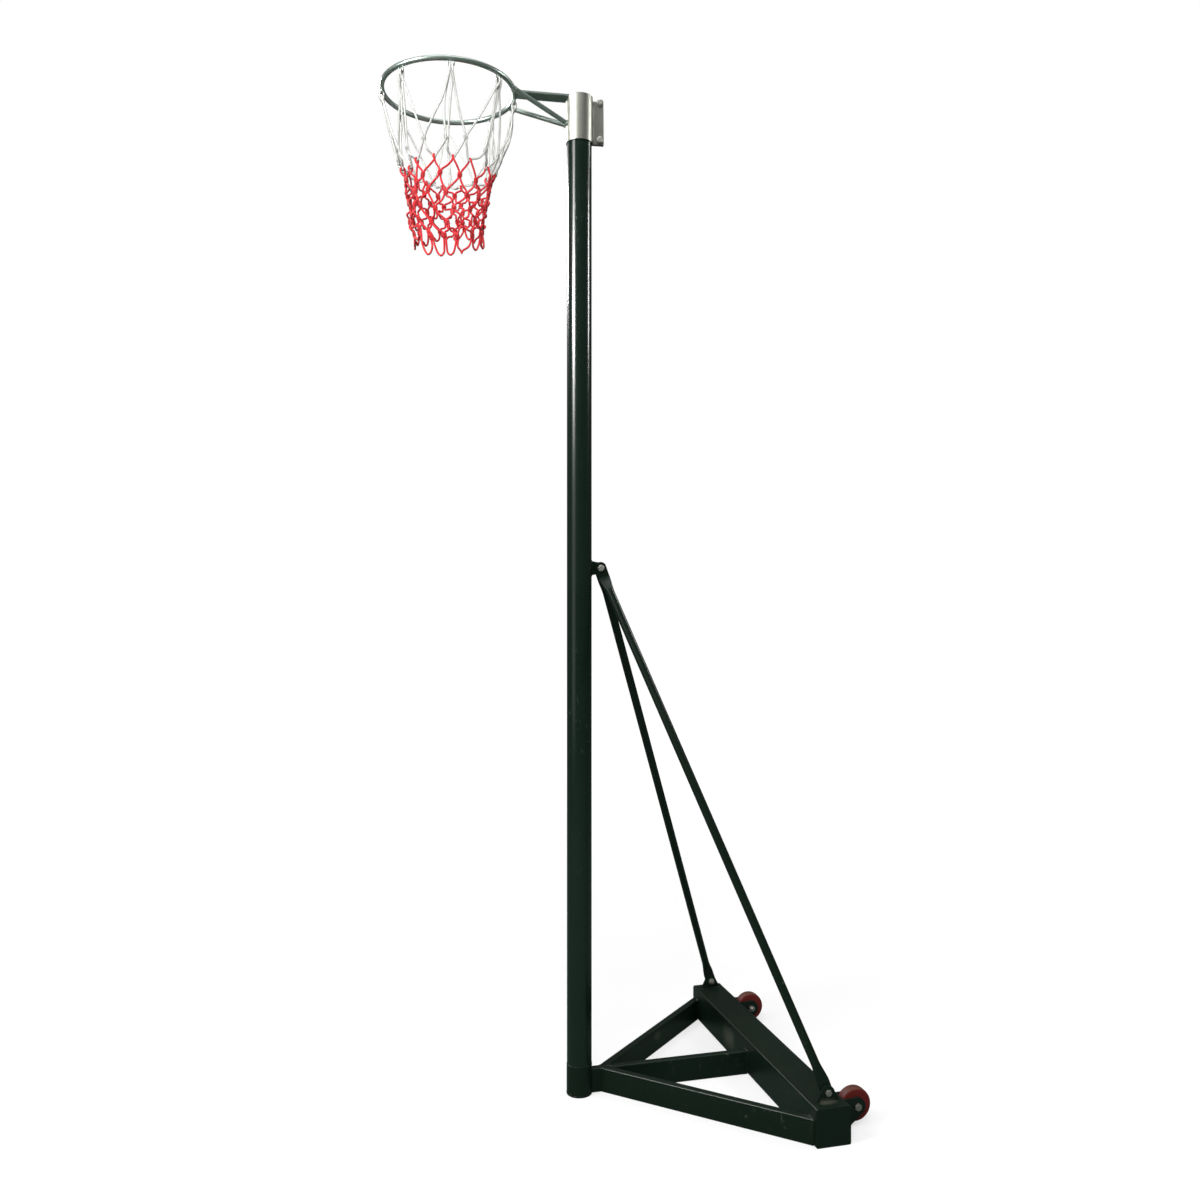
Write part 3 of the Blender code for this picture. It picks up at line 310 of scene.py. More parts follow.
# %% [markdown]
# ## The finishes
#
# The base and the post are sprayed with nearly black green gloss. The ring and its arms are
# galvanised, the clamp is satin zinc, the bolts are bright zinc, the tyres are red rubber, and the
# net is braided cord, white above and red below. Numbers that are the same all over a surface are
# set on the shader itself; only what varies comes through nodes.


# %% Paint
def bumped(tree, shader, height, strength, distance):
    bump = add_node(tree, "Bump", {"Height": height, "Strength": strength, "Distance": distance})
    finish(tree, shader, Normal=bump.outputs["Normal"])


def paint(slot, colour, roughness, sheen, scuffed, peeled, paler=()):
    """Gloss paint; the places (point and reach) listed last are where its colour is made paler."""
    tree, shader, place = new_material(slot, Specular_IOR_Level=sheen)
    marks = effect(tree, SCUFFS, place, Amount=scuffed)["Mask"]
    dirt = effect(tree, DUST, place, Amount=0.03)["Mask"]
    cloud = noise(tree, place, 5.0, 3.0)
    base = blend(tree, cloud, colour, tuple(part * 1.7 + 0.002 for part in colour))
    base = blend(tree, dirt, base, (0.085, 0.092, 0.080))
    base = blend(tree, marks, base, (0.20, 0.22, 0.19))
    for point, reach in paler:
        away = add_node(tree, "VectorMath", {0: place, 1: point}, operation="DISTANCE")
        close = span(tree, away.outputs["Value"], reach, reach * 0.4)
        pale_mask = maths(tree, "MULTIPLY", close, span(tree, cloud, 0.35, 0.6))
        base = blend(tree, maths(tree, "MULTIPLY", pale_mask, 0.9), base, (0.085, 0.088, 0.066))
    rough = mix(tree, maths(tree, "MAXIMUM", dirt, marks), roughness, 0.72)
    finish(tree, shader, Base_Color=base, Roughness=rough)
    bumped(tree, shader, effect(tree, ORANGE_PEEL, place)["Height"], peeled, 0.0006)


# Places where the frame paint is made paler. The first three are a painted highlight, the glint on
# the weld beads at the near lug's foot; the others are pale patches on the cross bar's front and on
# the far leg.
PALER_PLACES = (((0.588, -0.459, 0.110), 0.013), ((0.604, -0.459, 0.110), 0.015),
          ((0.620, -0.459, 0.110), 0.013), ((0.551, 0.130, 0.058), 0.040),
          ((0.551, 0.165, 0.054), 0.042), ((0.320, 0.220, 0.053), 0.017),
          ((0.333, 0.232, 0.050), 0.017))
paint("frame_paint", (0.0028, 0.0078, 0.0044), 0.30, 0.30, 0.26, 0.12, PALER_PLACES)
paint("post_paint", (0.0030, 0.0092, 0.0060), 0.19, 0.50, 0.22, 0.04)
print(f"paint, rubbed in {len(PALER_PLACES)} places")


# %% Zinc and galvanised steel
def zinc(slot, dark, bright, roughness, scale, grain, metal=1.0, relief=0.12, rim=0.0):
    """A zinc coat; one that has weathered is a little less of a metal and more of a grey.

    rim is painted shade: it darkens a polished coat towards its outline, where it turns away from
    view.
    """
    tree, shader, place = new_material(slot, Metallic=metal)
    cloud = effect(tree, ZINC_CLOUD, place, Scale=scale, Grain=grain)
    clouded = span(tree, cloud["Shade"], 0.32, 0.68)
    # The grey turns darker and browner towards the floor, and not at all above two metres.
    low = add_node(tree, "SeparateXYZ", {0: place}).outputs["Z"]
    low_darkening = span(tree, low, 0.2, 2.0, 0.55, 0.0)
    grey = blend(tree, low_darkening, blend(tree, clouded, dark, bright), (0.06, 0.052, 0.040))
    # Painted shade along the outline: the colour goes dark where the surface turns away from view.
    facing = add_node(tree, "LayerWeight", {"Blend": 0.5}).outputs["Facing"]
    painted_edge_shade = maths(tree, "MULTIPLY", span(tree, facing, 0.40, 0.70), rim)
    finish(tree, shader, Base_Color=blend(tree, painted_edge_shade, grey, (0.13, 0.13, 0.10)),
           Roughness=mix(tree, clouded, roughness + 0.05, roughness - 0.03))
    bumped(tree, shader, cloud["Height"], relief, 0.0003)


zinc("galvanised", (0.29, 0.35, 0.315), (0.38, 0.44, 0.41), 0.30, 42.0, 0.30, 0.76, 0.03)
zinc("satin_zinc", (0.45, 0.455, 0.405), (0.56, 0.565, 0.505), 0.42, 22.0, 0.40, rim=0.85)
zinc("bolt_zinc", (0.50, 0.50, 0.45), (0.66, 0.66, 0.60), 0.30, 130.0, 0.30, 0.72)
zinc("bronze", (0.34, 0.20, 0.08), (0.50, 0.31, 0.14), 0.38, 60.0, 0.30)
zinc("ballast", (0.07, 0.055, 0.045), (0.16, 0.13, 0.11), 0.62, 14.0, 0.50)


# %% Tyre rubber, with pale dirt ground into the tread, and moulded plastic
def moulded(slot, gloss, grain, deep, light, amount, dust_colour, rough, relief):
    """A moulding with a mottled colour and dust on top; grain is its noise's three numbers."""
    tree, shader, place = new_material(slot, Specular_IOR_Level=gloss)
    mottle = noise(tree, place, *grain)
    dust = effect(tree, DUST, place, Amount=amount)["Mask"]
    base = blend(tree, dust, blend(tree, mottle, deep, light), dust_colour)
    finish(tree, shader, Base_Color=base, Roughness=mix(tree, dust, *rough))
    bumped(tree, shader, mottle, *relief)


moulded("red_rubber", 0.2, (34.0, 7.0, 0.7), (0.075, 0.009, 0.008), (0.155, 0.018, 0.016),
        0.85, (0.075, 0.062, 0.036), (0.46, 0.85), (0.25, 0.0005))
moulded("dark_plastic", 0.45, (420.0, 2.0, 0.5), (0.018, 0.018, 0.018), (0.034, 0.034, 0.033),
        0.5, (0.12, 0.115, 0.10), (0.45, 0.8), (0.2, 0.0003))


# %% Braided cord: its pattern follows each cord, so it reads the cord's own map
def cord_finish(slot, deep, light, paler, rim):
    tree, shader, place = new_material(slot, Sheen_Weight=0.15, Specular_IOR_Level=0.2,
                                       Roughness=0.82)
    weave = effect(tree, BRAID, add_node(tree, "UVMap", uv_map="cord_map").outputs["UV"])
    # Painted shade: the colour is deep in the grooves between the strands and light on their
    # crests.
    base = blend(tree, maths(tree, "MULTIPLY", weave["Height"], 0.75), deep, light)
    base = blend(tree, span(tree, noise(tree, place, 11.0, 4.0), 0.5, 0.8), base, paler)
    # Painted shade: the cord darkens to the rim colour towards its outline, where it turns away
    # from view.
    facing = add_node(tree, "LayerWeight", {"Blend": 0.5}).outputs["Facing"]
    base = blend(tree, span(tree, facing, 0.28, 0.80), base, rim)
    finish(tree, shader, Base_Color=base)
    bumped(tree, shader, maths(tree, "ADD", weave["Height"], weave["Fuzz"]), 0.6, 0.0007)


cord_finish("white_cord", (0.64, 0.64, 0.61), (0.93, 0.93, 0.90), (0.80, 0.78, 0.74),
            (0.07, 0.09, 0.08))
cord_finish("red_cord", (0.62, 0.018, 0.024), (0.92, 0.042, 0.054), (0.90, 0.075, 0.088),
            (0.42, 0.008, 0.012))
print(f"{len(MATERIALS)} finishes")

# %% [markdown]
# ## Helpers for modelling
#
# Blender's operators work on what is selected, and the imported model's pieces come in selected, so
# each step starts by letting go of everything. These helpers do by code what hands do in the
# window: pick faces or edges by where they are, cut a piece with a plane, apply a modifier.

# %% Selecting and editing
MERGE = 0.00001


def only(piece):
    """Selects one piece and nothing else."""
    release()
    piece.select_set(True)
    bpy.context.view_layer.objects.active = piece


def named(name):
    """Names the piece that was just added, and puts its place and size in its mesh."""
    piece = bpy.context.object
    piece.name = name
    piece.data.name = name
    bpy.ops.object.transform_apply(location=True, rotation=True, scale=True)
    return piece


def edit(piece, kind="FACE", test=None):
    """Opens a piece in edit mode, with all of it selected or the faces or edges that pass a test.

    The test is given a part's middle and its way: a face's normal, or an edge's direction.
    """
    only(piece)
    bpy.ops.object.mode_set(mode="EDIT")
    bpy.ops.mesh.select_mode(type=kind)
    bpy.ops.mesh.select_all(action="DESELECT" if test else "SELECT")
    if test:
        form = bmesh.from_edit_mesh(piece.data)
        for part in form.faces if kind == "FACE" else form.edges:
            ends = [corner.co for corner in part.verts]
            way = part.normal if kind == "FACE" else (ends[1] - ends[0]).normalized()
            if test(sum(ends, Vector()) / len(ends), way):
                part.select_set(True)
        bmesh.update_edit_mesh(piece.data)


def done():
    bpy.ops.object.mode_set(mode="OBJECT")


print("selecting and editing ready")


# %% Modifiers, shading and cuts
def apply(piece, kind, **settings):
    """Adds a modifier, sets it and applies it."""
    only(piece)
    step = piece.modifiers.new(kind.lower(), kind)
    for key, value in settings.items():
        setattr(step, key, value)
    bpy.ops.object.modifier_apply(modifier=step.name)


def shade(piece, degrees=180):
    """Shades a piece smooth, but for the edges that bend by more than an angle."""
    only(piece)
    if degrees == 180:
        bpy.ops.object.shade_smooth()
    else:
        bpy.ops.object.shade_smooth_by_angle(angle=radians(degrees))


def soften(piece, width=0.0006, segments=2, angle=35):
    """Rounds a piece's sharp edges a little, as all real edges are, and shades the rest smooth."""
    apply(piece, "BEVEL", width=width, segments=segments, limit_method="ANGLE",
          angle_limit=radians(angle), harden_normals=False)
    shade(piece, 38)
    apply(piece, "WEIGHTED_NORMAL", keep_sharp=True)


def carve(piece, tool, operation="DIFFERENCE"):
    """Cuts a piece with another, or joins it on, and takes the tool away."""
    apply(piece, "BOOLEAN", operation=operation, object=tool)
    bpy.data.objects.remove(tool, do_unlink=True)


def trim(piece, place, way):
    """Cuts a piece with a plane, clears the side that way points to, and closes the cut."""
    edit(piece)
    bpy.ops.mesh.bisect(plane_co=place, plane_no=way, use_fill=True, clear_outer=True)
    done()


print("softening and cutting ready")


# %% Placing a piece, and giving it its finish
def place_by(piece, matrix):
    """Moves a piece's mesh, and leaves its object at the origin."""
    piece.data.transform(matrix)
    piece.data.update()


def dress(piece, body, slot, *nodes):
    """Gives a finished piece its finish, the body it moves with and the nodes it stands for."""
    piece.data.materials.clear()
    piece.data.materials.append(MATERIALS[slot])
    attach(piece, body)
    if nodes:
        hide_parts(*nodes)
    print(f"{piece.name}: {len(piece.data.polygons)} faces, {slot}, on {body}")


def twin(model, name, matrix, body, slot, *nodes):
    """A copy of a model with its own mesh, put in place and dressed."""
    copy = model.copy()
    copy.data = model.data.copy()
    copy.name = name
    copy.data.name = name
    bpy.context.scene.collection.objects.link(copy)
    place_by(copy, matrix)
    dress(copy, body, slot, *nodes)


print("placing and dressing ready")

# %% Starting shapes
X, Y, Z = (Vector(axis) for axis in ((1, 0, 0), (0, 1, 0), (0, 0, 1)))


def rod(name, radius, length, middle, way=Z, sides=48, open_ends=False):
    """A cylinder along a direction."""
    release()
    bpy.ops.mesh.primitive_cylinder_add(
        vertices=sides, radius=radius, depth=length, location=middle,
        rotation=Z.rotation_difference(Vector(way)).to_euler(),
        end_fill_type="NOTHING" if open_ends else "NGON")
    return named(name)


def block(name, low, high):
    """A box between two corners."""
    low, high = Vector(low), Vector(high)
    release()
    bpy.ops.mesh.primitive_cube_add(size=1, location=(low + high) / 2, scale=high - low)
    return named(name)


def pipe(name, radius, wall, foot, top, sides=96):
    """An upright tube, its wall grown inwards from an open cylinder."""
    middle = (0, 0, (foot + top) / 2)
    piece = rod(name, radius, top - foot, middle, sides=sides, open_ends=True)
    apply(piece, "SOLIDIFY", thickness=wall, offset=-1, use_even_offset=True)
    return piece


def box_section(name, low, high, way, corner):
    """A bar of rectangular tube: a box with its four long edges rounded."""
    piece = block(name, low, high)
    edit(piece, "EDGE", lambda middle, along: abs(along.dot(way)) > 0.9)
    bpy.ops.mesh.bevel(offset=corner, segments=5, affect="EDGES")
    done()
    return piece


print("starting shapes ready")

# %% [markdown]
# A weld is a row of small overlapping ripples, left as the welder's hand moves on. A curve can
# carry a radius at each point, so a bead is a thin curve whose radius swells and shrinks every
# couple of millimetres, made a mesh at the end. Real beads wander a little, which comes from a
# seeded random row, so that each run of the script gives the same weld.

# %% Bars along a line, and weld beads
BASE = "post_and_base"
RIPPLE = 0.0026
chance = np.random.default_rng(7)


def swept(name, routes, radius, sizes=None, resolution=2):
    """A round bar along each route, made a mesh; sizes gives each point's share of the radius."""
    curve = bpy.data.curves.new(name, "CURVE")
    curve.dimensions = "3D"
    curve.bevel_depth = radius
    curve.bevel_resolution = resolution
    curve.use_fill_caps = True
    for number, route in enumerate(routes):
        spline = curve.splines.new("POLY")
        spline.points.add(len(route) - 1)
        for i, (point, place) in enumerate(zip(spline.points, route)):
            point.co = (*place, 1)
            if sizes:
                point.radius = sizes[number][i]
    made = bpy.data.objects.new(name, curve)
    bpy.context.scene.collection.objects.link(made)
    only(made)
    bpy.ops.object.convert(target="MESH")
    return bpy.context.object


def merge(piece):
    """Joins the points that lie on each other, such as those round a curve's closed ends."""
    edit(piece, "VERT")
    bpy.ops.mesh.remove_doubles(threshold=MERGE)
    done()


def along_route(points, step):
    """Points at an even step along a line of points."""
    points = [Vector(p) for p in points]
    result = []
    for first, last in zip(points, points[1:]):
        count = max(1, ceil((last - first).length / step))
        result += [first.lerp(last, i / count) for i in range(count)]
    return [*result, points[-1]]


def ripples(count):
    """A bead's size at each point: it ripples, wanders a little, and is thin at its ends."""
    wander, sizes = 1.0, []
    for i in range(count):
        wander += (1.0 - wander) * 0.1 + chance.normal(0, 0.035)
        end = min(1.0, 0.45 + 0.2 * min(i, count - 1 - i))
        sizes.append(end * wander * (1.0, 0.86, 0.93)[i % 3])
    return sizes


def weld(name, routes, size, body=BASE, slot="frame_paint"):
    """A bead along each route, as one piece."""
    beads = [along_route(route, RIPPLE / 3) for route in routes]
    made = swept(name, beads, size, [ripples(len(bead)) for bead in beads])
    merge(made)
    shade(made)
    dress(made, body, slot)


print("welder ready")

# %% [markdown]
# ## The base
#
# The base is one flat triangle of rectangular steel tube, welded together and sprayed. A short
# round socket stands at its tip. Two bars spread from a short link behind it, a third runs down
# the middle, and a big square bar filled with ballast closes the triangle at the back.
#
# Each bar is a box with its long edges rounded, turned to its angle and trimmed with planes, which
# is how the real tube is sawn.

# %% Socket, and the disc with a rounded edge that closes its foot
GAP = 0.0003
SIDES = (("near", -1), ("far", 1))


def sprayed(piece, width, segments, *nodes, angle=35):
    """Softens a painted piece and sets it on the base."""
    soften(piece, width, segments, angle)
    dress(piece, BASE, "frame_paint", *nodes)


low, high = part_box("base_socket")
SOCKET_RADIUS = high.x
sprayed(pipe("socket", SOCKET_RADIUS, 0.0042, low.z, high.z), 0.0009, 3, "base_socket")
low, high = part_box("foot_plate")
foot = rod("socket_foot", SOCKET_RADIUS, high.z - low.z, (0, 0, (low.z + high.z) / 2), sides=96)
sprayed(foot, 0.0013, 3, "foot_plate")

# %% Link between the socket and the legs
FRAME_HEIGHT = 0.074
HALF_FRAME = 0.0125
FRAME_CORNER = 0.0040
CLEAR = 0.4
LINK_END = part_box("socket_link")[1].x


def frame_bar(name, start, end):
    """A bar of the frame, along X."""
    return box_section(name, (start, -HALF_FRAME, 0), (end, HALF_FRAME, FRAME_HEIGHT), X,
                       FRAME_CORNER)


def hollow_for(piece, radius, height, sides=96):
    """Cuts the room for an upright tube out of a piece that meets it."""
    carve(piece, rod("tube_space", radius + GAP / 2, CLEAR, (0, 0, height), sides=sides))


link = frame_bar("link", SOCKET_RADIUS * 0.8, LINK_END)
hollow_for(link, SOCKET_RADIUS, 0)
sprayed(link, 0.0004, 1, "socket_link")

# %% Legs: one bar each side, sawn off square to the cross bar and along the middle
BAR_LOW, BAR_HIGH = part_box("cross_bar")
BAR_FRONT = BAR_LOW.x
LEG_APEX = 0.0530
LEG_SPREAD = 0.475
LONG = 1.2  # longer than a leg: the planes trim it
LEG_ANGLE = atan2(LEG_SPREAD, BAR_FRONT - LEG_APEX)
for place, side in SIDES:
    leg = frame_bar(f"leg_bar_{place}", 0, LONG)
    turn = Matrix.Rotation(side * LEG_ANGLE, 4, "Z")
    start = X * LEG_APEX - (turn @ Y) * side * HALF_FRAME - (turn @ X) * 0.1
    place_by(leg, Matrix.Translation(start) @ turn)
    trim(leg, (LINK_END + GAP, 0, 0), (-1, 0, 0))
    trim(leg, (BAR_FRONT - GAP, 0, 0), (1, 0, 0))
    trim(leg, (0, side * GAP / 2, 0), (0, -side, 0))
    sprayed(leg, 0.0004, 1, f"leg_{place}")

# %% Middle bar, pointed to fit between the legs
INNER_APEX = LEG_APEX + 2 * HALF_FRAME / sin(LEG_ANGLE)
middle_bar = frame_bar("middle_tube", 0.06, BAR_FRONT - GAP)
for place, side in SIDES:
    trim(middle_bar, (INNER_APEX + GAP, 0, 0), (-sin(LEG_ANGLE), side * cos(LEG_ANGLE), 0))
sprayed(middle_bar, 0.0004, 1, "middle_bar")

# %% Cross bar and its end plates
CROSS_CORNER = 0.006
sprayed(box_section("cross_tube", BAR_LOW, BAR_HIGH, Y, CROSS_CORNER), 0.0004, 1, "cross_bar",
        angle=50)
for place, side in SIDES:
    plate = box_section(f"end_plate_{place}", *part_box(f"bar_cap_{place}"), Y, CROSS_CORNER)
    sprayed(plate, 0.0007, 2, f"bar_cap_{place}", angle=50)

# %% [markdown]
# The plates on the base are sawn from flat bar: each has a straight foot and a round end about its
# bolt hole. The outline of such a tab is what a tight string would draw round a disc and the
# corners of the foot, so a disc and a sliver for each corner are made as one mesh and wrapped with
# the convex hull tool.

# %% Tabs
SLIVER = 0.00001


def tab(name, centre, radius, corners, thickness, hole):
    """A plate in the plane of X and Z, with a round end about a hole and corners to stand on."""
    release()
    bpy.ops.mesh.primitive_cylinder_add(vertices=72, radius=radius, depth=thickness,
                                        location=centre, rotation=(pi / 2, 0, 0))
    bpy.ops.object.mode_set(mode="EDIT")
    for x, z in corners:
        bpy.ops.mesh.primitive_cube_add(size=1, location=(x, centre[1], z),
                                        scale=(SLIVER, thickness, SLIVER))
    bpy.ops.mesh.select_all(action="SELECT")
    bpy.ops.mesh.convex_hull()
    bpy.ops.mesh.dissolve_limited(angle_limit=radians(0.5))
    done()
    piece = named(name)
    carve(piece, rod("hole", hole, thickness * 4, centre, Y, 40))
    return piece


print("tab helper ready")

# %% Lugs on the cross bar, and the cheeks that hold the wheels
BOLT_HOLE = 0.0055
AXLE_HOLE = 0.0065
AXLE = Vector((0.723, 0, 0.058))
LUG_ROUND = 0.0195
CHEEK_ROUND = 0.025
CHEEK_KNEE = 0.021
for place, side in SIDES:
    low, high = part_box(f"stay_lug_{place}")
    centre = ((low.x + high.x) / 2, (low.y + high.y) / 2, high.z - LUG_ROUND)
    corners = ((low.x, low.z), (high.x, low.z))
    lug = tab(f"lug_{place}", centre, LUG_ROUND, corners, high.y - low.y, BOLT_HOLE)
    sprayed(lug, 0.0008, 2, f"stay_lug_{place}")
    for end in ("outer", "inner"):
        low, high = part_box(f"wheel_cheek_{place}_{end}")
        centre = (AXLE.x, (low.y + high.y) / 2, AXLE.z)
        corners = ((low.x, low.z), (AXLE.x - CHEEK_KNEE, low.z), (low.x, high.z))
        cheek = tab(f"cheek_{place}_{end}", centre, CHEEK_ROUND, corners, high.y - low.y, AXLE_HOLE)
        sprayed(cheek, 0.0007, 2, f"wheel_cheek_{place}_{end}")

# %% Bracket on the post
POST_LOW, POST_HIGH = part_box("post_tube")
POST_RADIUS = POST_HIGH.x
BRACKET_LOW, BRACKET_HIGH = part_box("post_bracket")
BRACKET_WIDTH = BRACKET_HIGH.y - BRACKET_LOW.y
BRACKET_ROUND = 0.0165
BRACKET_BOLT = Vector((BRACKET_HIGH.x - BRACKET_ROUND, 0, (BRACKET_LOW.z + BRACKET_HIGH.z) / 2))
corners = ((POST_RADIUS * 0.8, BRACKET_LOW.z), (POST_RADIUS * 0.8, BRACKET_HIGH.z))
bracket = tab("bracket", BRACKET_BOLT, BRACKET_ROUND, corners, BRACKET_WIDTH, BOLT_HOLE)
hollow_for(bracket, POST_RADIUS, BRACKET_BOLT.z)
sprayed(bracket, 0.0007, 2, "post_bracket")

# %% [markdown]
# ## The stays
#
# Each stay is a one-inch steel tube whose ends are pressed flat in a tool and cut round about the
# bolt hole. The flat ends stand upright, and between them the tube leans outwards, so it bends
# a little where each flat begins. A cylinder with many rings is added first, and then each ring is
# moved to its place along the stay and flattened as the press would do it, so the tube is made of
# clean rows of quads from end to end.


# %% Ring by ring shaping
def ringed(name, count, sides, move):
    """A rod of one metre cut into rings of points; move says where each of its points goes."""
    piece = rod(name, 1, 1, (0, 0, 0), sides=sides)
    edit(piece, "EDGE", lambda middle, along: abs(along.z) > 0.9)
    bpy.ops.mesh.subdivide(number_cuts=count - 2)
    done()
    for point in piece.data.vertices:
        point.co = move(point.co)
    piece.data.update()
    return piece


print("ring by ring shaping ready")

# %% Where the rings of a stay sit
TAB_HALF = 0.0023
STAY_RADIUS = 0.0127
HALF_FLAT = 0.0185
STAY_END = 0.0195
FLAT_RUN = 0.0260
FLARE = 0.0600
FLARE_RINGS = 14
STAY_SIDES = 48
ROUND_END = (-0.0193, -0.0188, -0.0176, -0.0155, -0.0120, -0.0065, 0.0, 0.010, 0.018)
LUG_LOW, LUG_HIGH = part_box("stay_lug_far")
TOP_TAB_Y = BRACKET_WIDTH / 2 + GAP + TAB_HALF
FOOT_TAB_Y = LUG_LOW.y - GAP - TAB_HALF
FOOT_BOLT = Vector(((BAR_LOW.x + BAR_HIGH.x) / 2, 0, LUG_HIGH.z - LUG_ROUND))


def stay_stations(side):
    """Where each ring sits: its middle, its lean, how round it is and the most that it is wide."""
    top = BRACKET_BOLT + Y * side * TOP_TAB_Y
    foot = FOOT_BOLT + Y * side * FOOT_TAB_Y
    run = Vector((foot.x - top.x, 0, foot.z - top.z)).normalized()
    first_bend, last_bend = top + run * FLAT_RUN, foot - run * FLAT_RUN
    between = last_bend - first_bend
    straight = between.normalized()
    lean = atan2(between.y, between.dot(run))
    ends = [(t, 0.0, sqrt(STAY_END**2 - min(t, 0) ** 2)) for t in ROUND_END]
    ends += [(0.0222, 0.15, 1.0), (FLAT_RUN, 0.5, 1.0)]
    flare = [i / FLARE_RINGS for i in range(1, FLARE_RINGS + 1)]
    upper = [(top + run * t, lean * part, 0.0, limit) for t, part, limit in ends]
    upper += [(first_bend + straight * FLARE * f, lean, f, 1.0) for f in flare]
    lower = [(foot - run * t, lean * part, 0.0, limit) for t, part, limit in ends]
    lower += [(last_bend - straight * FLARE * f, lean, f, 1.0) for f in flare]
    start, finish = upper[-1][0], lower[-1][0]
    plain = [(start.lerp(finish, i / 5), lean, 1.0, 1.0) for i in range(1, 5)]
    return [*upper, *plain, *reversed(lower)], run


print(f"{len(stay_stations(1)[0])} rings in each stay")


# %% Stays
def stay(name, side):
    stations, run = stay_stations(side)
    wide = Y.cross(run)

    def press(point):
        centre, tilt, openness, limit = stations[round((0.5 - point.z) * (len(stations) - 1))]
        share = openness * openness * (3 - 2 * openness)
        half = min(HALF_FLAT + (STAY_RADIUS - HALF_FLAT) * share, limit)
        height = TAB_HALF + (STAY_RADIUS - TAB_HALF) * share
        angle = atan2(point.y, point.x) + pi / STAY_SIDES
        reach = max(0, half - height) * (1 if cos(angle) > 0 else -1)
        across = reach + min(height, half) * cos(angle)
        thin = Y * cos(tilt) - run * sin(tilt)
        return centre + wide * across + thin * (height * sin(angle))

    piece = ringed(name, len(stations), STAY_SIDES, press)
    edit(piece)
    bpy.ops.mesh.normals_make_consistent(inside=False)
    done()
    shade(piece, 50)
    return piece


for place, side in SIDES:
    dress(stay(f"stay_tube_{place}", side), BASE, "frame_paint", f"stay_{place}")

# %% [markdown]
# ## Bolts, nuts and washers
#
# A hexagon bolt's head is a six-sided rod whose corners were turned off at 30 degrees, which
# leaves the curved bright edges that catch the light. So the head is a six-sided cylinder cut by
# a wide cone. The thread is a stack of ridges at the real pitch. One bolt, nut and washer of each
# size is modelled along Z, and copies are turned to their places.


# %% Fastener shapes
def placed(origin, way, upwards=X):
    """The matrix that turns a shape's own Z to way and sets it down at a point."""
    z = Vector(way).normalized()
    y = (upwards - z.dot(upwards) * z).normalized()
    matrix = Matrix((y.cross(z), y, z)).transposed().to_4x4()
    matrix.translation = Vector(origin)
    return matrix


def hexagon(name, across, foot, top):
    return rod(name, across / sqrt(3), top - foot, (0, 0, (foot + top) / 2), sides=6)


def chamfer_hexagon(piece, across, face, way):
    """Turns off a hexagon's corners at one face: way is 1 for its top and -1 for its foot."""
    deep = 0.02
    inner = across / 2 * 0.76
    outer = inner + deep * sqrt(3)
    foot, top = (outer, inner) if way > 0 else (inner, outer)
    release()
    bpy.ops.mesh.primitive_cone_add(vertices=72, radius1=foot, radius2=top, depth=deep,
                                    location=(0, 0, face - way * deep / 2))
    carve(piece, named("turning_tool"), "INTERSECT")


def threaded(name, radius, pitch, foot, top):
    """A rod with ridges: every other ring of points is at the thread's root."""
    last = 2 * int((top - foot) / pitch)

    def ridge(point):
        i = round((point.z + 0.5) * last)
        size = radius * (0.9 if i % 2 or i == last else 1.0)
        return Vector((point.x * size, point.y * size, foot + (top - foot) * i / last))

    return ringed(name, last + 1, 28, ridge)


print("fastener shapes ready")

# %% Bolts and nuts from these shapes
PITCH = 0.0015


def join(first, *others):
    only(first)
    for other in others:
        other.select_set(True)
    bpy.ops.object.join()
    return bpy.context.object


def model_bolt(name, radius, across, head, reach, flange=0.0):
    """Its head below Z = 0 and its shank above."""
    top = hexagon(name, across, -head, 0.0)
    chamfer_hexagon(top, across, -head, -1)
    soften(top, 0.00035, 2)
    plain = rod("shank", radius, reach * 0.5, (0, 0, reach * 0.25), sides=28)
    parts = [plain, threaded("thread", radius, PITCH, reach * 0.5, reach)]
    if flange:
        disc = rod("flange", flange, 0.0018, (0, 0, -0.0009))
        soften(disc, 0.0005, 2)
        parts.append(disc)
    return join(top, *parts)


def drilled(piece, hole, depth, sides, edge):
    """Drills a piece along Z and softens it."""
    carve(piece, rod("hole", hole, depth, (0, 0, 0), sides=sides))
    soften(piece, edge, 2)
    return piece


def model_nut(name, radius, across, height):
    piece = hexagon(name, across, 0.0, height)
    chamfer_hexagon(piece, across, height, 1)
    return drilled(piece, radius + 0.0002, height * 3, 28, 0.00035)


def forget(*models):
    for model in models:
        bpy.data.objects.remove(model, do_unlink=True)


print("bolts and nuts ready to model")

# %% Stay bolts
BOLT = 0.0050
ACROSS = 0.0170
HEAD_SIZE = 0.0064
NUT = 0.0080
WASHER = 0.0020
TAIL = 0.0030
top_face = TOP_TAB_Y + TAB_HALF + GAP
top_seat = top_face + WASHER + GAP
foot_grip = LUG_HIGH.y - LUG_LOW.y + 2 * TAB_HALF + 4 * GAP + WASHER
nut_model = model_nut("nut_model", BOLT, ACROSS, NUT)
washer = rod("washer_model", 0.0105, WASHER, (0, 0, WASHER / 2))
washer_model = drilled(washer, BOLT_HOLE, WASHER * 3, 40, 0.0003)
foot_bolt_model = model_bolt("bolt_model", BOLT, ACROSS, HEAD_SIZE, foot_grip + NUT + TAIL)
top_bolt = model_bolt("top_bolt", BOLT, ACROSS, HEAD_SIZE, 2 * top_seat + NUT + TAIL)
place_by(top_bolt, placed(BRACKET_BOLT - Y * top_seat, Y))
dress(top_bolt, BASE, "bolt_zinc", "stay_top_bolt")


def fix(model, name, origin, way, node, upwards=X):
    """Sets a zinc-coated fastener down on the base."""
    twin(model, name, placed(origin, way, upwards), BASE, "bolt_zinc", node)


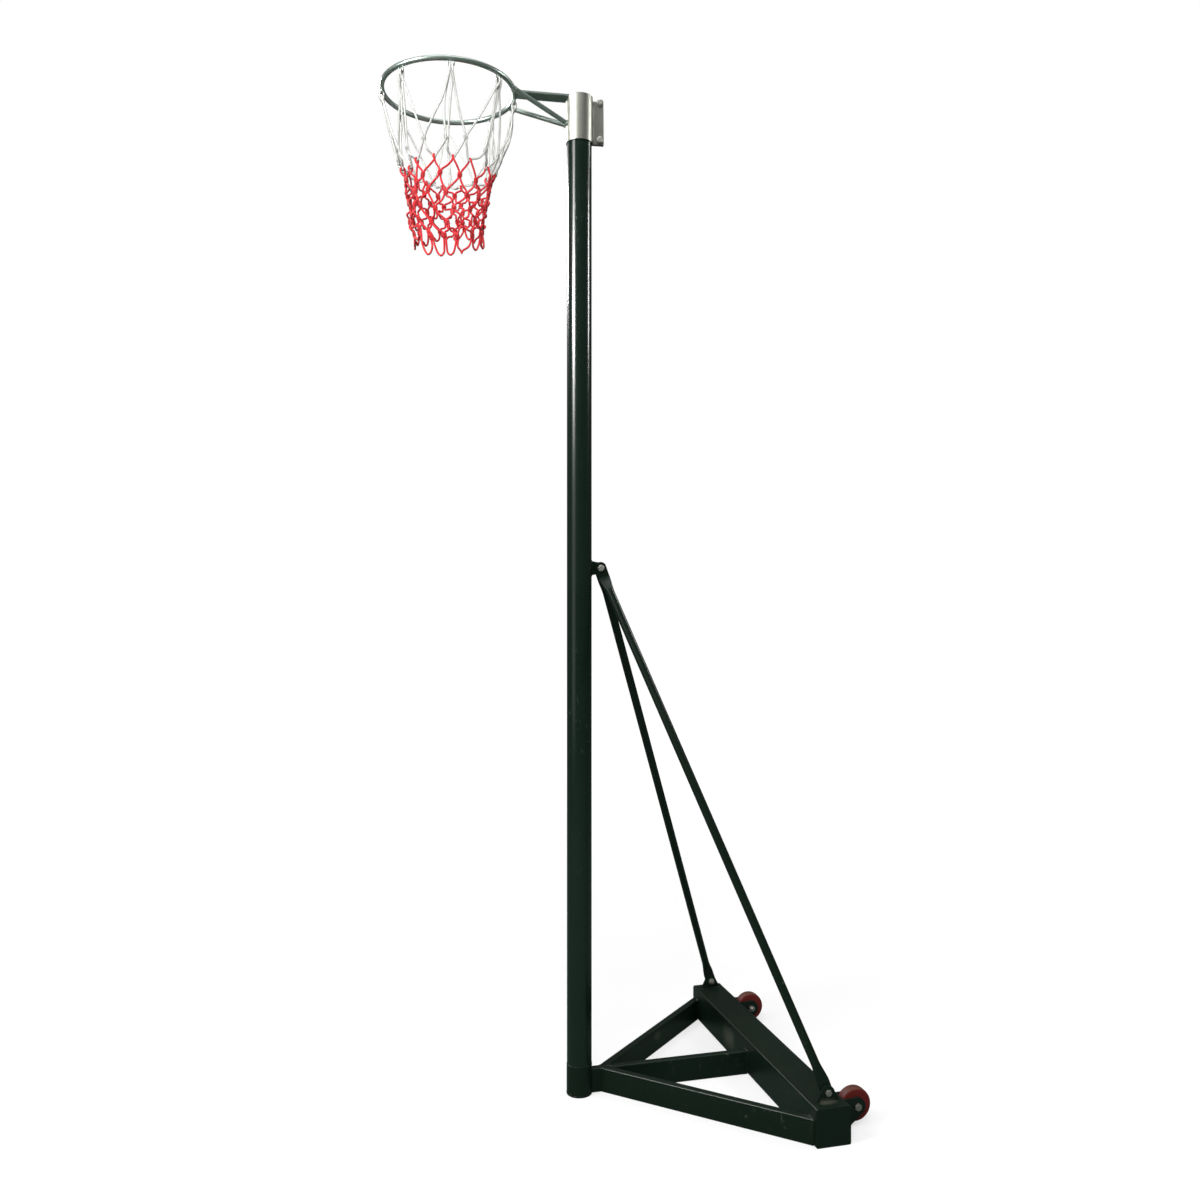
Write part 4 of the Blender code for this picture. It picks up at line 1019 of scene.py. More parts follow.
fix(nut_model, "top_nut", BRACKET_BOLT + Y * top_seat, Y, "stay_top_nut")
for place, side in SIDES:
    out = Y * side
    fix(washer_model, f"top_washer_{place}", BRACKET_BOLT + out * top_face, out,
        f"stay_top_washer_{place}")
    fix(foot_bolt_model, f"foot_bolt_{place}", FOOT_BOLT + out * (LUG_HIGH.y + GAP), -out,
        f"stay_foot_bolt_{place}")
    seat = FOOT_BOLT + out * (FOOT_TAB_Y - TAB_HALF - GAP)
    fix(washer_model, f"foot_washer_{place}", seat, -out, f"stay_foot_washer_{place}")
    seat -= out * (WASHER + GAP)
    fix(nut_model, f"foot_nut_{place}", seat, -out, f"stay_foot_nut_{place}")

# %% [markdown]
# ## The wheels
#
# Each wheel is a moulded hub with a solid red rubber tyre, on a long bolt between the two cheeks.
# Hub and tyre are round about one axis, so each is a profile drawn point by point and spun. The
# hub's web is stiffened with ribs, made once and turned round the axle.


# %% Turned shapes
def turned(name, profile, steps=72):
    """A closed profile of (radius, height) points, spun about Z."""
    release()
    bpy.ops.mesh.primitive_plane_add(size=0.01, location=(0, 0, 0))
    bpy.ops.object.mode_set(mode="EDIT")
    bpy.ops.mesh.select_mode(type="VERT")
    bpy.ops.mesh.select_all(action="SELECT")
    bpy.ops.mesh.merge(type="CENTER")
    bpy.ops.transform.translate(value=(profile[0][0], 0, profile[0][1]))
    for (r0, z0), (r1, z1) in zip(profile, [*profile[1:], profile[0]]):
        bpy.ops.mesh.extrude_vertices_move(
            TRANSFORM_OT_translate={"value": (r1 - r0, 0, z1 - z0)})
    bpy.ops.mesh.select_all(action="SELECT")
    bpy.ops.mesh.remove_doubles(threshold=MERGE)
    bpy.ops.mesh.spin(steps=steps, angle=2 * pi, center=(0, 0, 0), axis=(0, 0, 1))
    bpy.ops.mesh.select_all(action="SELECT")
    bpy.ops.mesh.remove_doubles(threshold=MERGE)
    bpy.ops.mesh.normals_make_consistent(inside=False)
    done()
    return named(name)


def arc(centre, radius, start, end, steps):
    """Points from one angle to another, both included."""
    angles = [start + (end - start) * i / steps for i in range(steps + 1)]
    return [(centre[0] + radius * cos(a), centre[1] + radius * sin(a)) for a in angles]


print("turning helpers ready")

# %% Tyre: a flat tread with a fine groove round it, and round shoulders
WHEEL_RADIUS = 0.048
HALF_WIDTH = 0.016
SEAT = 0.0255
SHOULDER = 0.0062
tread = arc((WHEEL_RADIUS - 0.0004 - SHOULDER, HALF_WIDTH - SHOULDER), SHOULDER, pi / 2, 0.06, 8)
tread += [(WHEEL_RADIUS, 0.0062), (WHEEL_RADIUS, 0.0021), (WHEEL_RADIUS - 0.0006, 0.0016)]
mirrored = [(r, -z) for r, z in reversed(tread)]
tyre_model = turned("tyre_model", [*tread, *mirrored, (SEAT, -HALF_WIDTH), (SEAT, HALF_WIDTH)])
shade(tyre_model, 40)
print(f"tyre {len(tyre_model.data.polygons)} faces")

# %% Hub: a rim and a boss joined by a thin web with ribs
RIM = SEAT - GAP
BUSH = 0.0098
BORE = BUSH + GAP
BOSS = BORE + 0.006
WEB = 0.005
RIB_HEIGHT = 0.009
RIB_HALF = 0.0012
half = [(BORE, HALF_WIDTH), (BOSS, HALF_WIDTH), (BOSS + 0.001, WEB), (RIM - 0.0052, WEB),
        (RIM - 0.004, HALF_WIDTH), (RIM, HALF_WIDTH)]
hub_model = turned("hub_model", [*half, *[(r, -z) for r, z in reversed(half)]])
soften(hub_model, 0.0007, 2)
ribs = []
for i in range(6):
    for height in (-RIB_HEIGHT, RIB_HEIGHT):
        rib = block("rib", (BOSS - 0.0005, -RIB_HALF, height - RIB_HEIGHT / 2),
                    (RIM - 0.0042, RIB_HALF, height + RIB_HEIGHT / 2))
        soften(rib, 0.0005, 2)
        place_by(rib, Matrix.Rotation(i * pi / 3, 4, "Z"))
        ribs.append(rib)
hub_model = join(hub_model, *ribs)
print(f"hub {len(hub_model.data.polygons)} faces")

# %% Wheels and axles in place
WHEEL_Y = 0.381
AXLE_RADIUS = 0.0060
AXLE_ACROSS = 0.0190
AXLE_NUT = 0.0100
SPACER = 0.0034
CHEEK = 0.0060
axle_seat = HALF_WIDTH + GAP + SPACER + GAP + CHEEK + GAP
axle_model = model_bolt("axle_model", AXLE_RADIUS, AXLE_ACROSS, 0.0075,
                        2 * axle_seat + AXLE_NUT + TAIL)
axle_nut_model = model_nut("axle_nut_model", AXLE_RADIUS, AXLE_ACROSS, AXLE_NUT)
for place, side in SIDES:
    out = Y * side
    centre = AXLE + out * WHEEL_Y
    for model, name, slot, node in ((tyre_model, "tyre_ring", "red_rubber", "tyre"),
                                    (hub_model, "hub", "dark_plastic", "wheel_hub")):
        twin(model, f"{name}_{place}", placed(centre, out, Z), f"wheel_{place}", slot,
             f"{node}_{place}")
    fix(axle_model, f"axle_{place}", centre + out * axle_seat, -out, f"axle_bolt_{place}", Z)
    fix(axle_nut_model, f"axle_nut_piece_{place}", centre - out * axle_seat, -out,
        f"axle_nut_{place}", Z)
forget(washer_model, foot_bolt_model, tyre_model, hub_model, axle_model, axle_nut_model)

# %% [markdown]
# ## The post
#
# The post is one length of 76 mm round tube, almost three metres tall, sprayed gloss black-green.
# Its foot stands on the socket's top with a fine bright line where the two meet. Its open top is
# plugged with a plastic cap, which the clamp hides.

# %% Post tube
post = pipe("post", POST_RADIUS, 0.0026, POST_LOW.z, POST_HIGH.z, 128)
soften(post, 0.0006, 2)
dress(post, BASE, "post_paint", "post_tube")
print(f"post {2000 * POST_RADIUS:.1f} mm wide and {POST_HIGH.z - POST_LOW.z:.3f} m long")

# %% [markdown]
# Now that every piece of the base stands, it is welded: round each end of the bars, along the
# feet of the plates, and round the socket's foot.

# %% Welds of the bars
WELD_FOOT = 0.004
LOW_EDGE = FRAME_HEIGHT - 0.003
ROUNDED = FRAME_HEIGHT - FRAME_CORNER


def over_bar(x):
    """Up one side of a bar of the base, across its top and down the other side."""
    half = [(x, HALF_FRAME, WELD_FOOT), (x, HALF_FRAME, ROUNDED),
            (x, HALF_FRAME * 0.72, FRAME_HEIGHT)]
    return [*half, *[(x, -y, z) for x, y, z in reversed(half)]]


socket_x = sqrt(SOCKET_RADIUS**2 - HALF_FRAME**2) + 0.001
weld("weld_link_socket", [over_bar(socket_x)], 0.0024)
weld("weld_link_legs", [over_bar(LINK_END)], 0.0016)
slope = LEG_SPREAD / (BAR_FRONT - LEG_APEX)
bar_x = BAR_FRONT - 0.0008
for place, side in SIDES:
    outer = side * LEG_SPREAD
    inner = side * (BAR_FRONT - INNER_APEX) * slope
    route = [(bar_x, outer, WELD_FOOT), (bar_x, outer, LOW_EDGE),
             (bar_x, outer - side * 0.004, FRAME_HEIGHT),
             (bar_x, inner + side * 0.004, FRAME_HEIGHT),
             (bar_x, inner, LOW_EDGE), (bar_x, inner, WELD_FOOT)]
    weld(f"weld_leg_{place}", [route], 0.0026)
weld("weld_middle_bar", [over_bar(bar_x)], 0.0024)
tip = Vector((INNER_APEX + 0.003, 0, FRAME_HEIGHT))
seams = [[tip, tip + Vector((HALF_FRAME / slope, side * HALF_FRAME, 0))] for side in (-1, 1)]
seams.append([(LINK_END, 0, FRAME_HEIGHT), (INNER_APEX, 0, FRAME_HEIGHT)])
weld("weld_middle_tip", seams, 0.0014)

# %% Welds of the socket's foot, the lugs, the cheeks and the bracket
circle = [(SOCKET_RADIUS * cos(2 * pi * i / 60) * 0.998,
           SOCKET_RADIUS * sin(2 * pi * i / 60) * 0.998, 0.0042) for i in range(61)]
weld("weld_socket_foot", [circle], 0.0009)


def uprights(x, low, high, inset):
    """Up both sides of a plate."""
    return [[(x, y, low.z + inset), (x, y, high.z - inset)] for y in (low.y, high.y)]


for place, side in SIDES:
    low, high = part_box(f"stay_lug_{place}")
    for y, name in ((low.y, "a"), (high.y, "b")):
        seam = [(low.x + 0.002, y, low.z), (high.x - 0.002, y, low.z)]
        weld(f"weld_lug_{place}_{name}", [seam], 0.0030)
    for end in ("outer", "inner"):
        seams = uprights(BAR_HIGH.x + 0.0006, *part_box(f"wheel_cheek_{place}_{end}"), 0.002)
        weld(f"weld_cheek_{place}_{end}", seams, 0.0022)
x = sqrt(POST_RADIUS**2 - BRACKET_HIGH.y**2) + 0.0008
seams = uprights(x, BRACKET_LOW, BRACKET_HIGH, 0.001)
seams += [[(x, BRACKET_LOW.y, z), (x, BRACKET_HIGH.y, z)] for z in (BRACKET_HIGH.z, BRACKET_LOW.z)]
weld("weld_bracket", seams, 0.0022)

# %% Hidden and small pieces that keep their shape and take a finish
KEPT = {"post_spigot": "frame_paint", "post_cap": "dark_plastic", "ballast_slab": "ballast"}
for place, side in SIDES:
    KEPT[f"wheel_bush_{place}"] = "bronze"
    for end in ("outer", "inner"):
        KEPT[f"wheel_spacer_{place}_{end}"] = "bolt_zinc"
for name, slot in KEPT.items():
    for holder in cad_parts[name].material_slots:
        holder.material = MATERIALS[slot]
print(f"{len(KEPT)} kept pieces finished")

# %% [markdown]
# ## The clamp
#
# The clamp is a split steel sleeve round the post's top with two ears behind it. Two flanged
# bolts pull the ears together. The whole head sits turned by nearly five degrees on the post, so
# each of its pieces is modelled square, as a maker would lay it out, and then turned with the rest.

# %% Turning the head
HEAD = "head"
HEAD_DEGREES = -4.7
HEAD_TURN = Matrix.Rotation(radians(HEAD_DEGREES), 4, "Z")


def head_piece(piece, slot, *nodes):
    """Turns a piece with the head, and dresses it."""
    place_by(piece, HEAD_TURN)
    dress(piece, HEAD, slot, *nodes)


def head_weld(name, routes, size, slot="galvanised"):
    """A weld laid out square with the head's other pieces, and turned with them."""
    weld(name, [[HEAD_TURN @ Vector(p) for p in route] for route in routes], size, HEAD, slot)


print(f"the head is turned by {HEAD_DEGREES} degrees")

# %% Split sleeve: its back is cut along two lines, and the strip between them is taken out
SLEEVE_LOW, SLEEVE_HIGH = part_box("clamp_sleeve")
SLEEVE_RADIUS = 0.04135
SLEEVE_WALL = 0.0029
SLIT = 0.002
sleeve = rod("sleeve", SLEEVE_RADIUS, SLEEVE_HIGH.z - SLEEVE_LOW.z,
             (0, 0, (SLEEVE_HIGH.z + SLEEVE_LOW.z) / 2), sides=128, open_ends=True)
for y in (-SLIT, SLIT):
    edit(sleeve, "FACE", lambda middle, way: middle.x > 0 and abs(middle.y) < 0.006)
    bpy.ops.mesh.bisect(plane_co=(0, y, 0), plane_no=(0, 1, 0))
    done()
edit(sleeve, "FACE", lambda middle, way: middle.x > 0 and abs(middle.y) < SLIT)
bpy.ops.mesh.delete(type="FACE")
done()
apply(sleeve, "SOLIDIFY", thickness=SLEEVE_WALL, offset=-1, use_even_offset=True)
soften(sleeve, 0.0007, 3)
head_piece(sleeve, "satin_zinc", "clamp_sleeve")

# %% Ears: a straight plate with a round lobe about the upper bolt
EAR = 0.0040
EAR_END = 0.07565
EAR_LOBE = 0.0108
EAR_NECK = 0.0020
CLAMP_X = EAR_END - 0.0120
UPPER_Z = SLEEVE_HIGH.z - 0.0108
LOWER_Z = SLEEVE_LOW.z + 0.0147
EAR_FOOT = SLEEVE_LOW.z
corners = ((SLEEVE_RADIUS + GAP, EAR_FOOT), (EAR_END, EAR_FOOT))
for place, side in SIDES:
    y = side * (SLIT + EAR / 2)
    ear = tab(f"ear_{place}", (CLAMP_X, y, UPPER_Z), EAR_LOBE, corners, EAR, BOLT_HOLE)
    root = block("root", (SLEEVE_RADIUS - 0.0006, y - EAR / 2, EAR_FOOT),
                 (CLAMP_X - 0.007, y + EAR / 2, UPPER_Z + EAR_NECK))
    carve(ear, root, "UNION")
    carve(ear, rod("hole", BOLT_HOLE, 0.02, (CLAMP_X, y, LOWER_Z), Y, 40))
    edit(ear, "EDGE", lambda middle, along: abs(along.y) > 0.9
         and middle.x > EAR_END - 0.001 and middle.z < EAR_FOOT + 0.001)
    bpy.ops.mesh.bevel(offset=0.007, segments=6, affect="EDGES")
    done()
    soften(ear, 0.0006, 2)
    head_piece(ear, "satin_zinc", f"clamp_ear_{place}")
    seam = [(SLEEVE_RADIUS * 0.99, side * (SLIT + EAR), z) for z in (EAR_FOOT + 0.002, UPPER_Z)]
    head_weld(f"weld_ear_{place}", [seam], 0.0026, "satin_zinc")

# %% Clamp bolts
FLANGE = 0.0107
seat = SLIT + EAR + GAP
clamp_bolt_model = model_bolt("clamp_bolt_model", BOLT, ACROSS, HEAD_SIZE, 2 * seat + NUT + TAIL,
                              FLANGE)
for end, z in (("upper", UPPER_Z), ("lower", LOWER_Z)):
    for model, name, y in ((clamp_bolt_model, "clamp_bolt", -seat), (nut_model, "clamp_nut", seat)):
        twin(model, f"{name}_piece_{end}", HEAD_TURN @ placed((CLAMP_X, y, z), Y), HEAD,
             "bolt_zinc", f"{name}_{end}")
forget(clamp_bolt_model, nut_model)

# %% [markdown]
# ## The arm, the braces and the ring
#
# A flat bar lies on the ring and runs back to the sleeve, and two round braces come up from the
# sleeve to the ring's underside. The ring itself is a bar of 15 mm steel rolled into a circle of
# 380 mm inside and welded shut. Torus, rods and a flat block are the nearest primitives, and each
# is cut where it meets its neighbour, then welded.

# %% Arm
RING_X = -0.3988
RING_RADIUS = 0.1975
RING_ROD = 0.0075
RING_Z = 3.0425
HALF_ARM = 0.023
ARM_LOW, ARM_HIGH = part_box("ring_arm")
arm = block("arm", (RING_X + RING_RADIUS, -HALF_ARM, ARM_LOW.z),
            (-SLEEVE_RADIUS * 0.5, HALF_ARM, ARM_HIGH.z))
hollow_for(arm, SLEEVE_RADIUS, ARM_LOW.z, 128)
soften(arm, 0.0011, 3)
head_piece(arm, "galvanised", "ring_arm")

# %% Braces
BRACE_RADIUS = 0.0070
BRACE_Y = 0.065
BRACE_X = RING_X + sqrt(RING_RADIUS**2 - BRACE_Y**2)
BRACE_FOOT_Y = 0.0078
BRACE_FOOT_Z = RING_Z - 0.0675


def brace_ends(side, height):
    """Where a brace meets the ring and the sleeve, and the way from one to the other."""
    outer = Vector((BRACE_X, side * BRACE_Y, height))
    inner = Vector((-SLEEVE_RADIUS, side * BRACE_FOOT_Y, BRACE_FOOT_Z))
    return outer, inner, (inner - outer).normalized()


for place, side in SIDES:
    outer, inner, way = brace_ends(side, RING_Z - 0.001)
    inner += way * 0.006
    brace = rod(f"brace_bar_{place}", BRACE_RADIUS, (inner - outer).length, (inner + outer) / 2,
                way, 32)
    hollow_for(brace, SLEEVE_RADIUS, RING_Z, 128)
    soften(brace, 0.0004, 1, 50)
    head_piece(brace, "galvanised", f"brace_{place}")

# %% Ring, with the fine mark of the weld that closes it
release()
bpy.ops.mesh.primitive_torus_add(location=(RING_X, 0, RING_Z), major_segments=192,
                                 minor_segments=28, major_radius=RING_RADIUS, minor_radius=RING_ROD)
ring = named("ring_bar")
edit(ring, "FACE", lambda middle, way: abs(middle.y) < 0.004 and middle.x > RING_X)
bpy.ops.mesh.bevel(offset=0.0004, segments=1, affect="EDGES")
done()
shade(ring)
print(f"ring {len(ring.data.polygons)} faces")

# %% Hooks under the ring: eight U shapes of wire
HOOKS = 8
HOOK_ROD = 0.0020
HOOK_Z = RING_Z - 0.0205
HALF_HOOK = 0.009
HOOK_BEND = 0.005


def on_ring(angle, radius, z, aside=0.0):
    """A point round the ring's axis, turned with the head; aside is measured along the ring."""
    x = RING_X + radius * cos(angle) - aside * sin(angle)
    y = radius * sin(angle) + aside * cos(angle)
    return HEAD_TURN @ Vector((x, y, z))


def hook_route(angle):
    corner = (HALF_HOOK - HOOK_BEND, HOOK_Z + HOOK_BEND)
    turn = arc(corner, HOOK_BEND, 0, -pi / 2, 6)
    turn += arc((-corner[0], corner[1]), HOOK_BEND, -pi / 2, -pi, 6)
    points = [(HALF_HOOK, RING_Z - 0.004), *turn, (-HALF_HOOK, RING_Z - 0.004)]
    return [on_ring(angle, RING_RADIUS, z, aside) for aside, z in points]


hook_angles = [2 * pi * i / HOOKS for i in range(HOOKS)]
hooks = swept("hooks", [hook_route(angle) for angle in hook_angles], HOOK_ROD, resolution=3)
merge(hooks)
shade(hooks, 45)
head_piece(ring, "galvanised", "ring")
dress(hooks, HEAD, "galvanised")

# %% Welds of the head
joint_z = RING_Z - RING_ROD + 0.0006
spots = [[on_ring(angle, RING_RADIUS - way * 0.0014, joint_z, aside + way * 0.0016)
          for way in (-1, 1)] for angle in hook_angles for aside in (-HALF_HOOK, HALF_HOOK)]
weld("weld_hooks", spots, 0.0024, HEAD, "galvanised")
around = [(-SLEEVE_RADIUS * cos(a), SLEEVE_RADIUS * sin(a), ARM_LOW.z - 0.0002)
          for a in [radians(-33 + 66 * i / 12) for i in range(13)]]
head_weld("weld_arm_sleeve", [around], 0.0020)
past = [(RING_X + RING_RADIUS + 0.0055, y, ARM_LOW.z - 0.0012) for y in (-0.022, 0.022)]
head_weld("weld_arm_ring", [past], 0.0022)
circle = [Vector((x, y, 0)) for x, y in arc((0, 0), 0.0068, 0, 2 * pi, 16)]
ends = []
for place, side in SIDES:
    outer, inner, way = brace_ends(side, RING_Z)
    for centre in (outer + way * 0.0085, inner - way * 0.0008):
        ends.append([placed(centre, way, Z) @ point for point in circle])
head_weld("weld_braces", ends, 0.0018)

# %% [markdown]
# ## The nets
#
# Sixteen white cords make the upper net. Each is one closed loop: over a hook, down to two knots,
# and round a narrow bend at the foot, where a red loop is threaded through. The red net is sixteen
# such loops with five rows of knots. Neighbouring loops run side by side for the length of a
# thumbnail and are bound there with a few turns, which is all that a knot is here. Cord doesn't
# hang evenly, so the knots that the photo shows are placed one by one from a list and the others by
# chance, and a cord whose ends come nearer than its length sags by what is left over. Far from the
# camera the red net hangs shorter, as it does in the photo.

# %% Rows of knots: each row's radius, its height and how far down the red net it is
CORD = 0.0031
BESIDE = CORD + 0.00005
TWINE = 0.0011
PLACES = 16
NEAR = -92.0
FAR_RISE = 0.098
LOWEST = 6.1
NET_ROWS = {
    "white": (0.155, 2.836, 0), "vee": (0.133, 2.790, 0), 1: (0.1288, 2.7454, 1),
    2: (0.1247, 2.7008, 2), 3: (0.1205, 2.6562, 3), 4: (0.1163, 2.6116, 4),
    5: (0.1122, 2.567, 5), "end": (0.108, 2.518, LOWEST),
}
HALVES = {"vee", 2, 4, "end"}
SEEN = {  # knots by their place round the row: how far each is shifted in degrees, and its height
    "white": {-6: (-7, 2.824), -5: (-7, 2.839), -4: (-4, 2.838), -3: (-6, 2.845), -2: (-4, 2.823)},
    "vee": {-6.5: (-2, 2.776), -5.5: (-11, 2.790), -4.5: (-9, 2.793), -3.5: (-8, 2.791),
            -2.5: (-8, 2.790), -1.5: (0, 2.787), -0.5: (-5, 2.779)},
    1: {-6: (-4, 2.735), -5: (-14, 2.746), -4: (-13, 2.748), -3: (-10, 2.744), -2: (-9, 2.739),
        -1: (-4, 2.746)},
    2: {-5.5: (-17, 2.707), -4.5: (-19, 2.702), -3.5: (-17, 2.693), -2.5: (-11, 2.692),
        -1.5: (-14, 2.692)},
    3: {-6: (-13, 2.668), -5: (-21, 2.661), -4: (-21, 2.649), -3: (-17, 2.651), -2: (-15, 2.656),
        -1: (-13, 2.672)},
    4: {-5.5: (-17, 2.628), -4.5: (-16, 2.611), -3.5: (-15, 2.607), -2.5: (-16, 2.610),
        -1.5: (-16, 2.627), -0.5: (-18, 2.637)},
    5: {-6: (-5, 2.600), -5: (-5, 2.567), -4: (-8, 2.571), -3: (-12, 2.570), -2: (-10, 2.582),
        -1: (-14, 2.595)},
    "end": {-6.5: (-2, 2.573), -5.5: (-1, 2.521), -4.5: (-2, 2.515), -3.5: (-10, 2.517),
            -2.5: (-15, 2.525), -1.5: (-12, 2.546), -0.5: (-14, 2.562)},
}
print(f"{sum(len(row) for row in SEEN.values())} knots placed by eye")


# %% Where knots hang
def degrees_of(place):
    return place * 360 / PLACES


def wrap(place):
    return (place + PLACES / 2) % PLACES - PLACES / 2


def head_point(degrees, radius, z):
    """A point round the ring's axis, turned with the head."""
    return on_ring(radians(degrees), radius, z)


def hang(row, place):
    """A knot's point: as the photo shows it, or by chance."""
    radius, height, below = NET_ROWS[row]
    degrees = degrees_of(place)
    if place in SEEN[row]:
        shift, height = SEEN[row][place]
        return head_point(degrees + shift, radius + chance.normal(0, 0.0015), height)
    far = (1 - cos(radians(degrees - NEAR))) / 2
    shift, lift = (-5, -0.006) if row == "white" else (-8, 0.016)
    shift += chance.normal(0, 2.6)
    height += lift * far + FAR_RISE * far * below / LOWEST + chance.normal(0, 0.0035)
    radius = radius * (1 - 0.03 * far * below) + chance.normal(0, 0.0025)
    return head_point(degrees + shift, radius, height)


KNOTS = {}
for row in NET_ROWS:
    for i in range(PLACES):
        place = wrap(i + (0.5 if row in HALVES else 0))
        KNOTS[row, place] = hang(row, place)


def knot(row, place):
    return KNOTS[row, wrap(place)]


def plan(point):
    """Outwards from the net's middle, and onwards round it."""
    out = (point - head_point(0, 0, point.z)).normalized()
    return out, Z.cross(out)


print(f"{len(KNOTS)} knots and bends")


# %% Slack cords and smooth lines
def smooth_line(points, step=0.0035):
    """An even line through every point, with no corners."""
    points = [Vector(p) for p in points]
    padded = [2 * points[0] - points[1], *points, 2 * points[-1] - points[-2]]
    result = []
    for a, b, c, d in zip(padded, padded[1:], padded[2:], padded[3:]):
        first = max(1e-5, (b - a).length) ** 0.5
        second = first + max(1e-5, (c - b).length) ** 0.5
        third = second + max(1e-5, (d - c).length) ** 0.5
        count = max(2, ceil((c - b).length / step))
        for i in range(count):
            t = first + (second - first) * i / count
            ab = a.lerp(b, t / first)
            bc = b.lerp(c, (t - first) / (second - first))
            cd = c.lerp(d, (t - second) / (third - second))
            abc = ab.lerp(bc, t / second)
            bcd = bc.lerp(cd, (t - first) / (third - first))
            result.append(abc.lerp(bcd, (t - first) / (second - first)))
    return [*result, points[-1]]


def bow_of(distance, spare):
    """How far a cord bows: for a flat arc, the square of it is 3/8 of distance times spare."""
    return sqrt(0.375 * distance * spare)


def sag(start, end, length, least=0.0006, most=0.0075):
    """The middle of a cord between two points: what it has to spare shows as a bow."""
    distance = (end - start).length
    bow = bow_of(distance, max(0.0, length - distance))
    bow = min(most, max(bow, least + abs(chance.normal(0, 0.0012))))
    out, onwards = plan((start + end) / 2)
    way = out * chance.normal(0.3, 0.8) + onwards * chance.normal(0, 0.8) - Z * 0.55
    straight = (end - start).normalized()
    way -= way.dot(straight) * straight
    return (start + end) / 2 + way.normalized() * bow


print(f"1 mm to spare over 50 mm bows by {bow_of(0.05, 0.001) * 1000:.1f} mm")

# %% How a knot is laid
TALL = {"white": 0.0070, 1: 0.0088, 2: 0.0084, 3: 0.0084, 4: 0.0084, 5: 0.0088}


def neighbours(row, place):
    """The points that a knot's cords come from and go to."""
    upper, lower = row, "vee"
    if row == "white":
        hung_on = (place - 1, place + 1) if place % 2 else (place,)
        above = [head_point(degrees_of(hook), RING_RADIUS, HOOK_Z) for hook in hung_on]
    else:
        upper, lower = ("vee" if row == 1 else row - 1), ("end" if row == 5 else row + 1)
        above = [knot(upper, place + half) for half in (-0.5, 0.5)]
    return above, [knot(lower, place + half) for half in (-0.5, 0.5)]


def lie(row, place):
    """A knot's middle, the way up through it and the way across it."""
    centre = knot(row, place)
    above, below = neighbours(row, place)
    up = (sum(above, Vector()) / len(above) - sum(below, Vector()) / len(below)).normalized()
    onwards = plan(centre)[1]
    return centre, up, (onwards - onwards.dot(up) * up).normalized()


def through(row, place, side, downwards=True):
    """The points at which one of a knot's two cords goes in and comes out."""
    centre, up, across = lie(row, wrap(place))
    beside = centre + across * side * BESIDE
    points = [beside + up * TALL[row], beside - up * TALL[row]]
    return points if downwards else points[::-1]


print(f"knots up to {2000 * max(TALL.values()):.1f} mm tall")

# %% Bindings and cord pieces
TURN_POINTS = 14
BOUND = 0.62


def binding(row, place):
    """The turns of twine round a knot, tucked in at both ends."""
    centre, up, across = lie(row, place)
    out = across.cross(up)
    tall = 2 * TALL[row] * BOUND
    start = chance.uniform(0, 2 * pi)
    count = int(TURN_POINTS * (2.5 if row == "white" else 4.5))
    points = []
    for i in range(-2, count + 3):
        size = 1 - 0.28 * max(0, -i, i - count)
        angle = start + 2 * pi * i / TURN_POINTS
        part = min(1, max(0, i / count))
        points.append(centre + across * cos(angle) * (BESIDE + CORD + TWINE * 0.4) * size
                      + out * sin(angle) * (CORD + TWINE * 0.5) * size + up * tall * (0.5 - part))
    return points


CAP_CORNERS = 12 * 3  # six triangles close each of a cord's two ends
SIDE_CORNERS = 8 * 4  # eight quads go round it between two points of its route


def cords(name, routes, radius):
    """Round cords along the routes, with a map of metres along each and turns round it.

    A curve's mesh has the ends' faces first, last cord before first, and then the sides' faces.
    """
    made = swept(name, routes, radius)
    lengths = [sum((b - a).length for a, b in zip(route, route[1:])) for route in routes]
    print(f"{name}: {len(routes)} cords, {sum(lengths):.2f} m, "
          f"from {min(lengths):.3f} to {max(lengths):.3f} m each")
    caps = [np.full(CAP_CORNERS, length) for length in reversed(lengths)]
    sides = [np.full((len(route) - 1) * SIDE_CORNERS, length)
             for route, length in zip(routes, lengths)]
    layer = made.data.uv_layers["UVMap"]
    values = np.empty(len(layer.data) * 2)
    layer.data.foreach_get("uv", values)
    values[::2] *= np.concatenate([*caps, *sides])
    layer.data.foreach_set("uv", values)
    layer.name = "cord_map"
    merge(made)
    edit(made)
    bpy.ops.mesh.normals_make_consistent(inside=False)
    done()
    shade(made, 50)
    return made


print("cord helpers ready")


# %% Long cords of the upper net
def over_hook(place, aside):
    """Over a hook's wire, from the leg that comes up inside the ring to the one outside."""
    around = HOOK_ROD + CORD + 0.0003
    turn = [(-around, -0.010), *arc((0, 0), around, pi, 0, 4), (around, -0.010)]
    angle = radians(degrees_of(place))
    return [on_ring(angle, RING_RADIUS + r, HOOK_Z + z, aside) for r, z in turn]


def upper_leg(start, split, slack):
    """A long cord from a knot to where the loop's two legs meet: nearly straight, or loose."""
    out, onwards = plan((start + split) / 2)
    aside = chance.normal(0, 1)
    way = (onwards * aside + out * (1 - abs(aside) * 0.5)).normalized()
    bowed = way * bow_of((split - start).length, slack) * 0.8
    return [start.lerp(split, 0.35) + bowed, start.lerp(split, 0.7) + bowed, split]


print(f"{PLACES // HOOKS} loops over each of {HOOKS} hooks")

# %% Upper net
BIGHT = 0.0064
WHITE_LEG = 0.044
TOGETHER = {-4.5: 0.42, -3.5: 0.20, 2.5: 0.3, -6.5: 0.3}


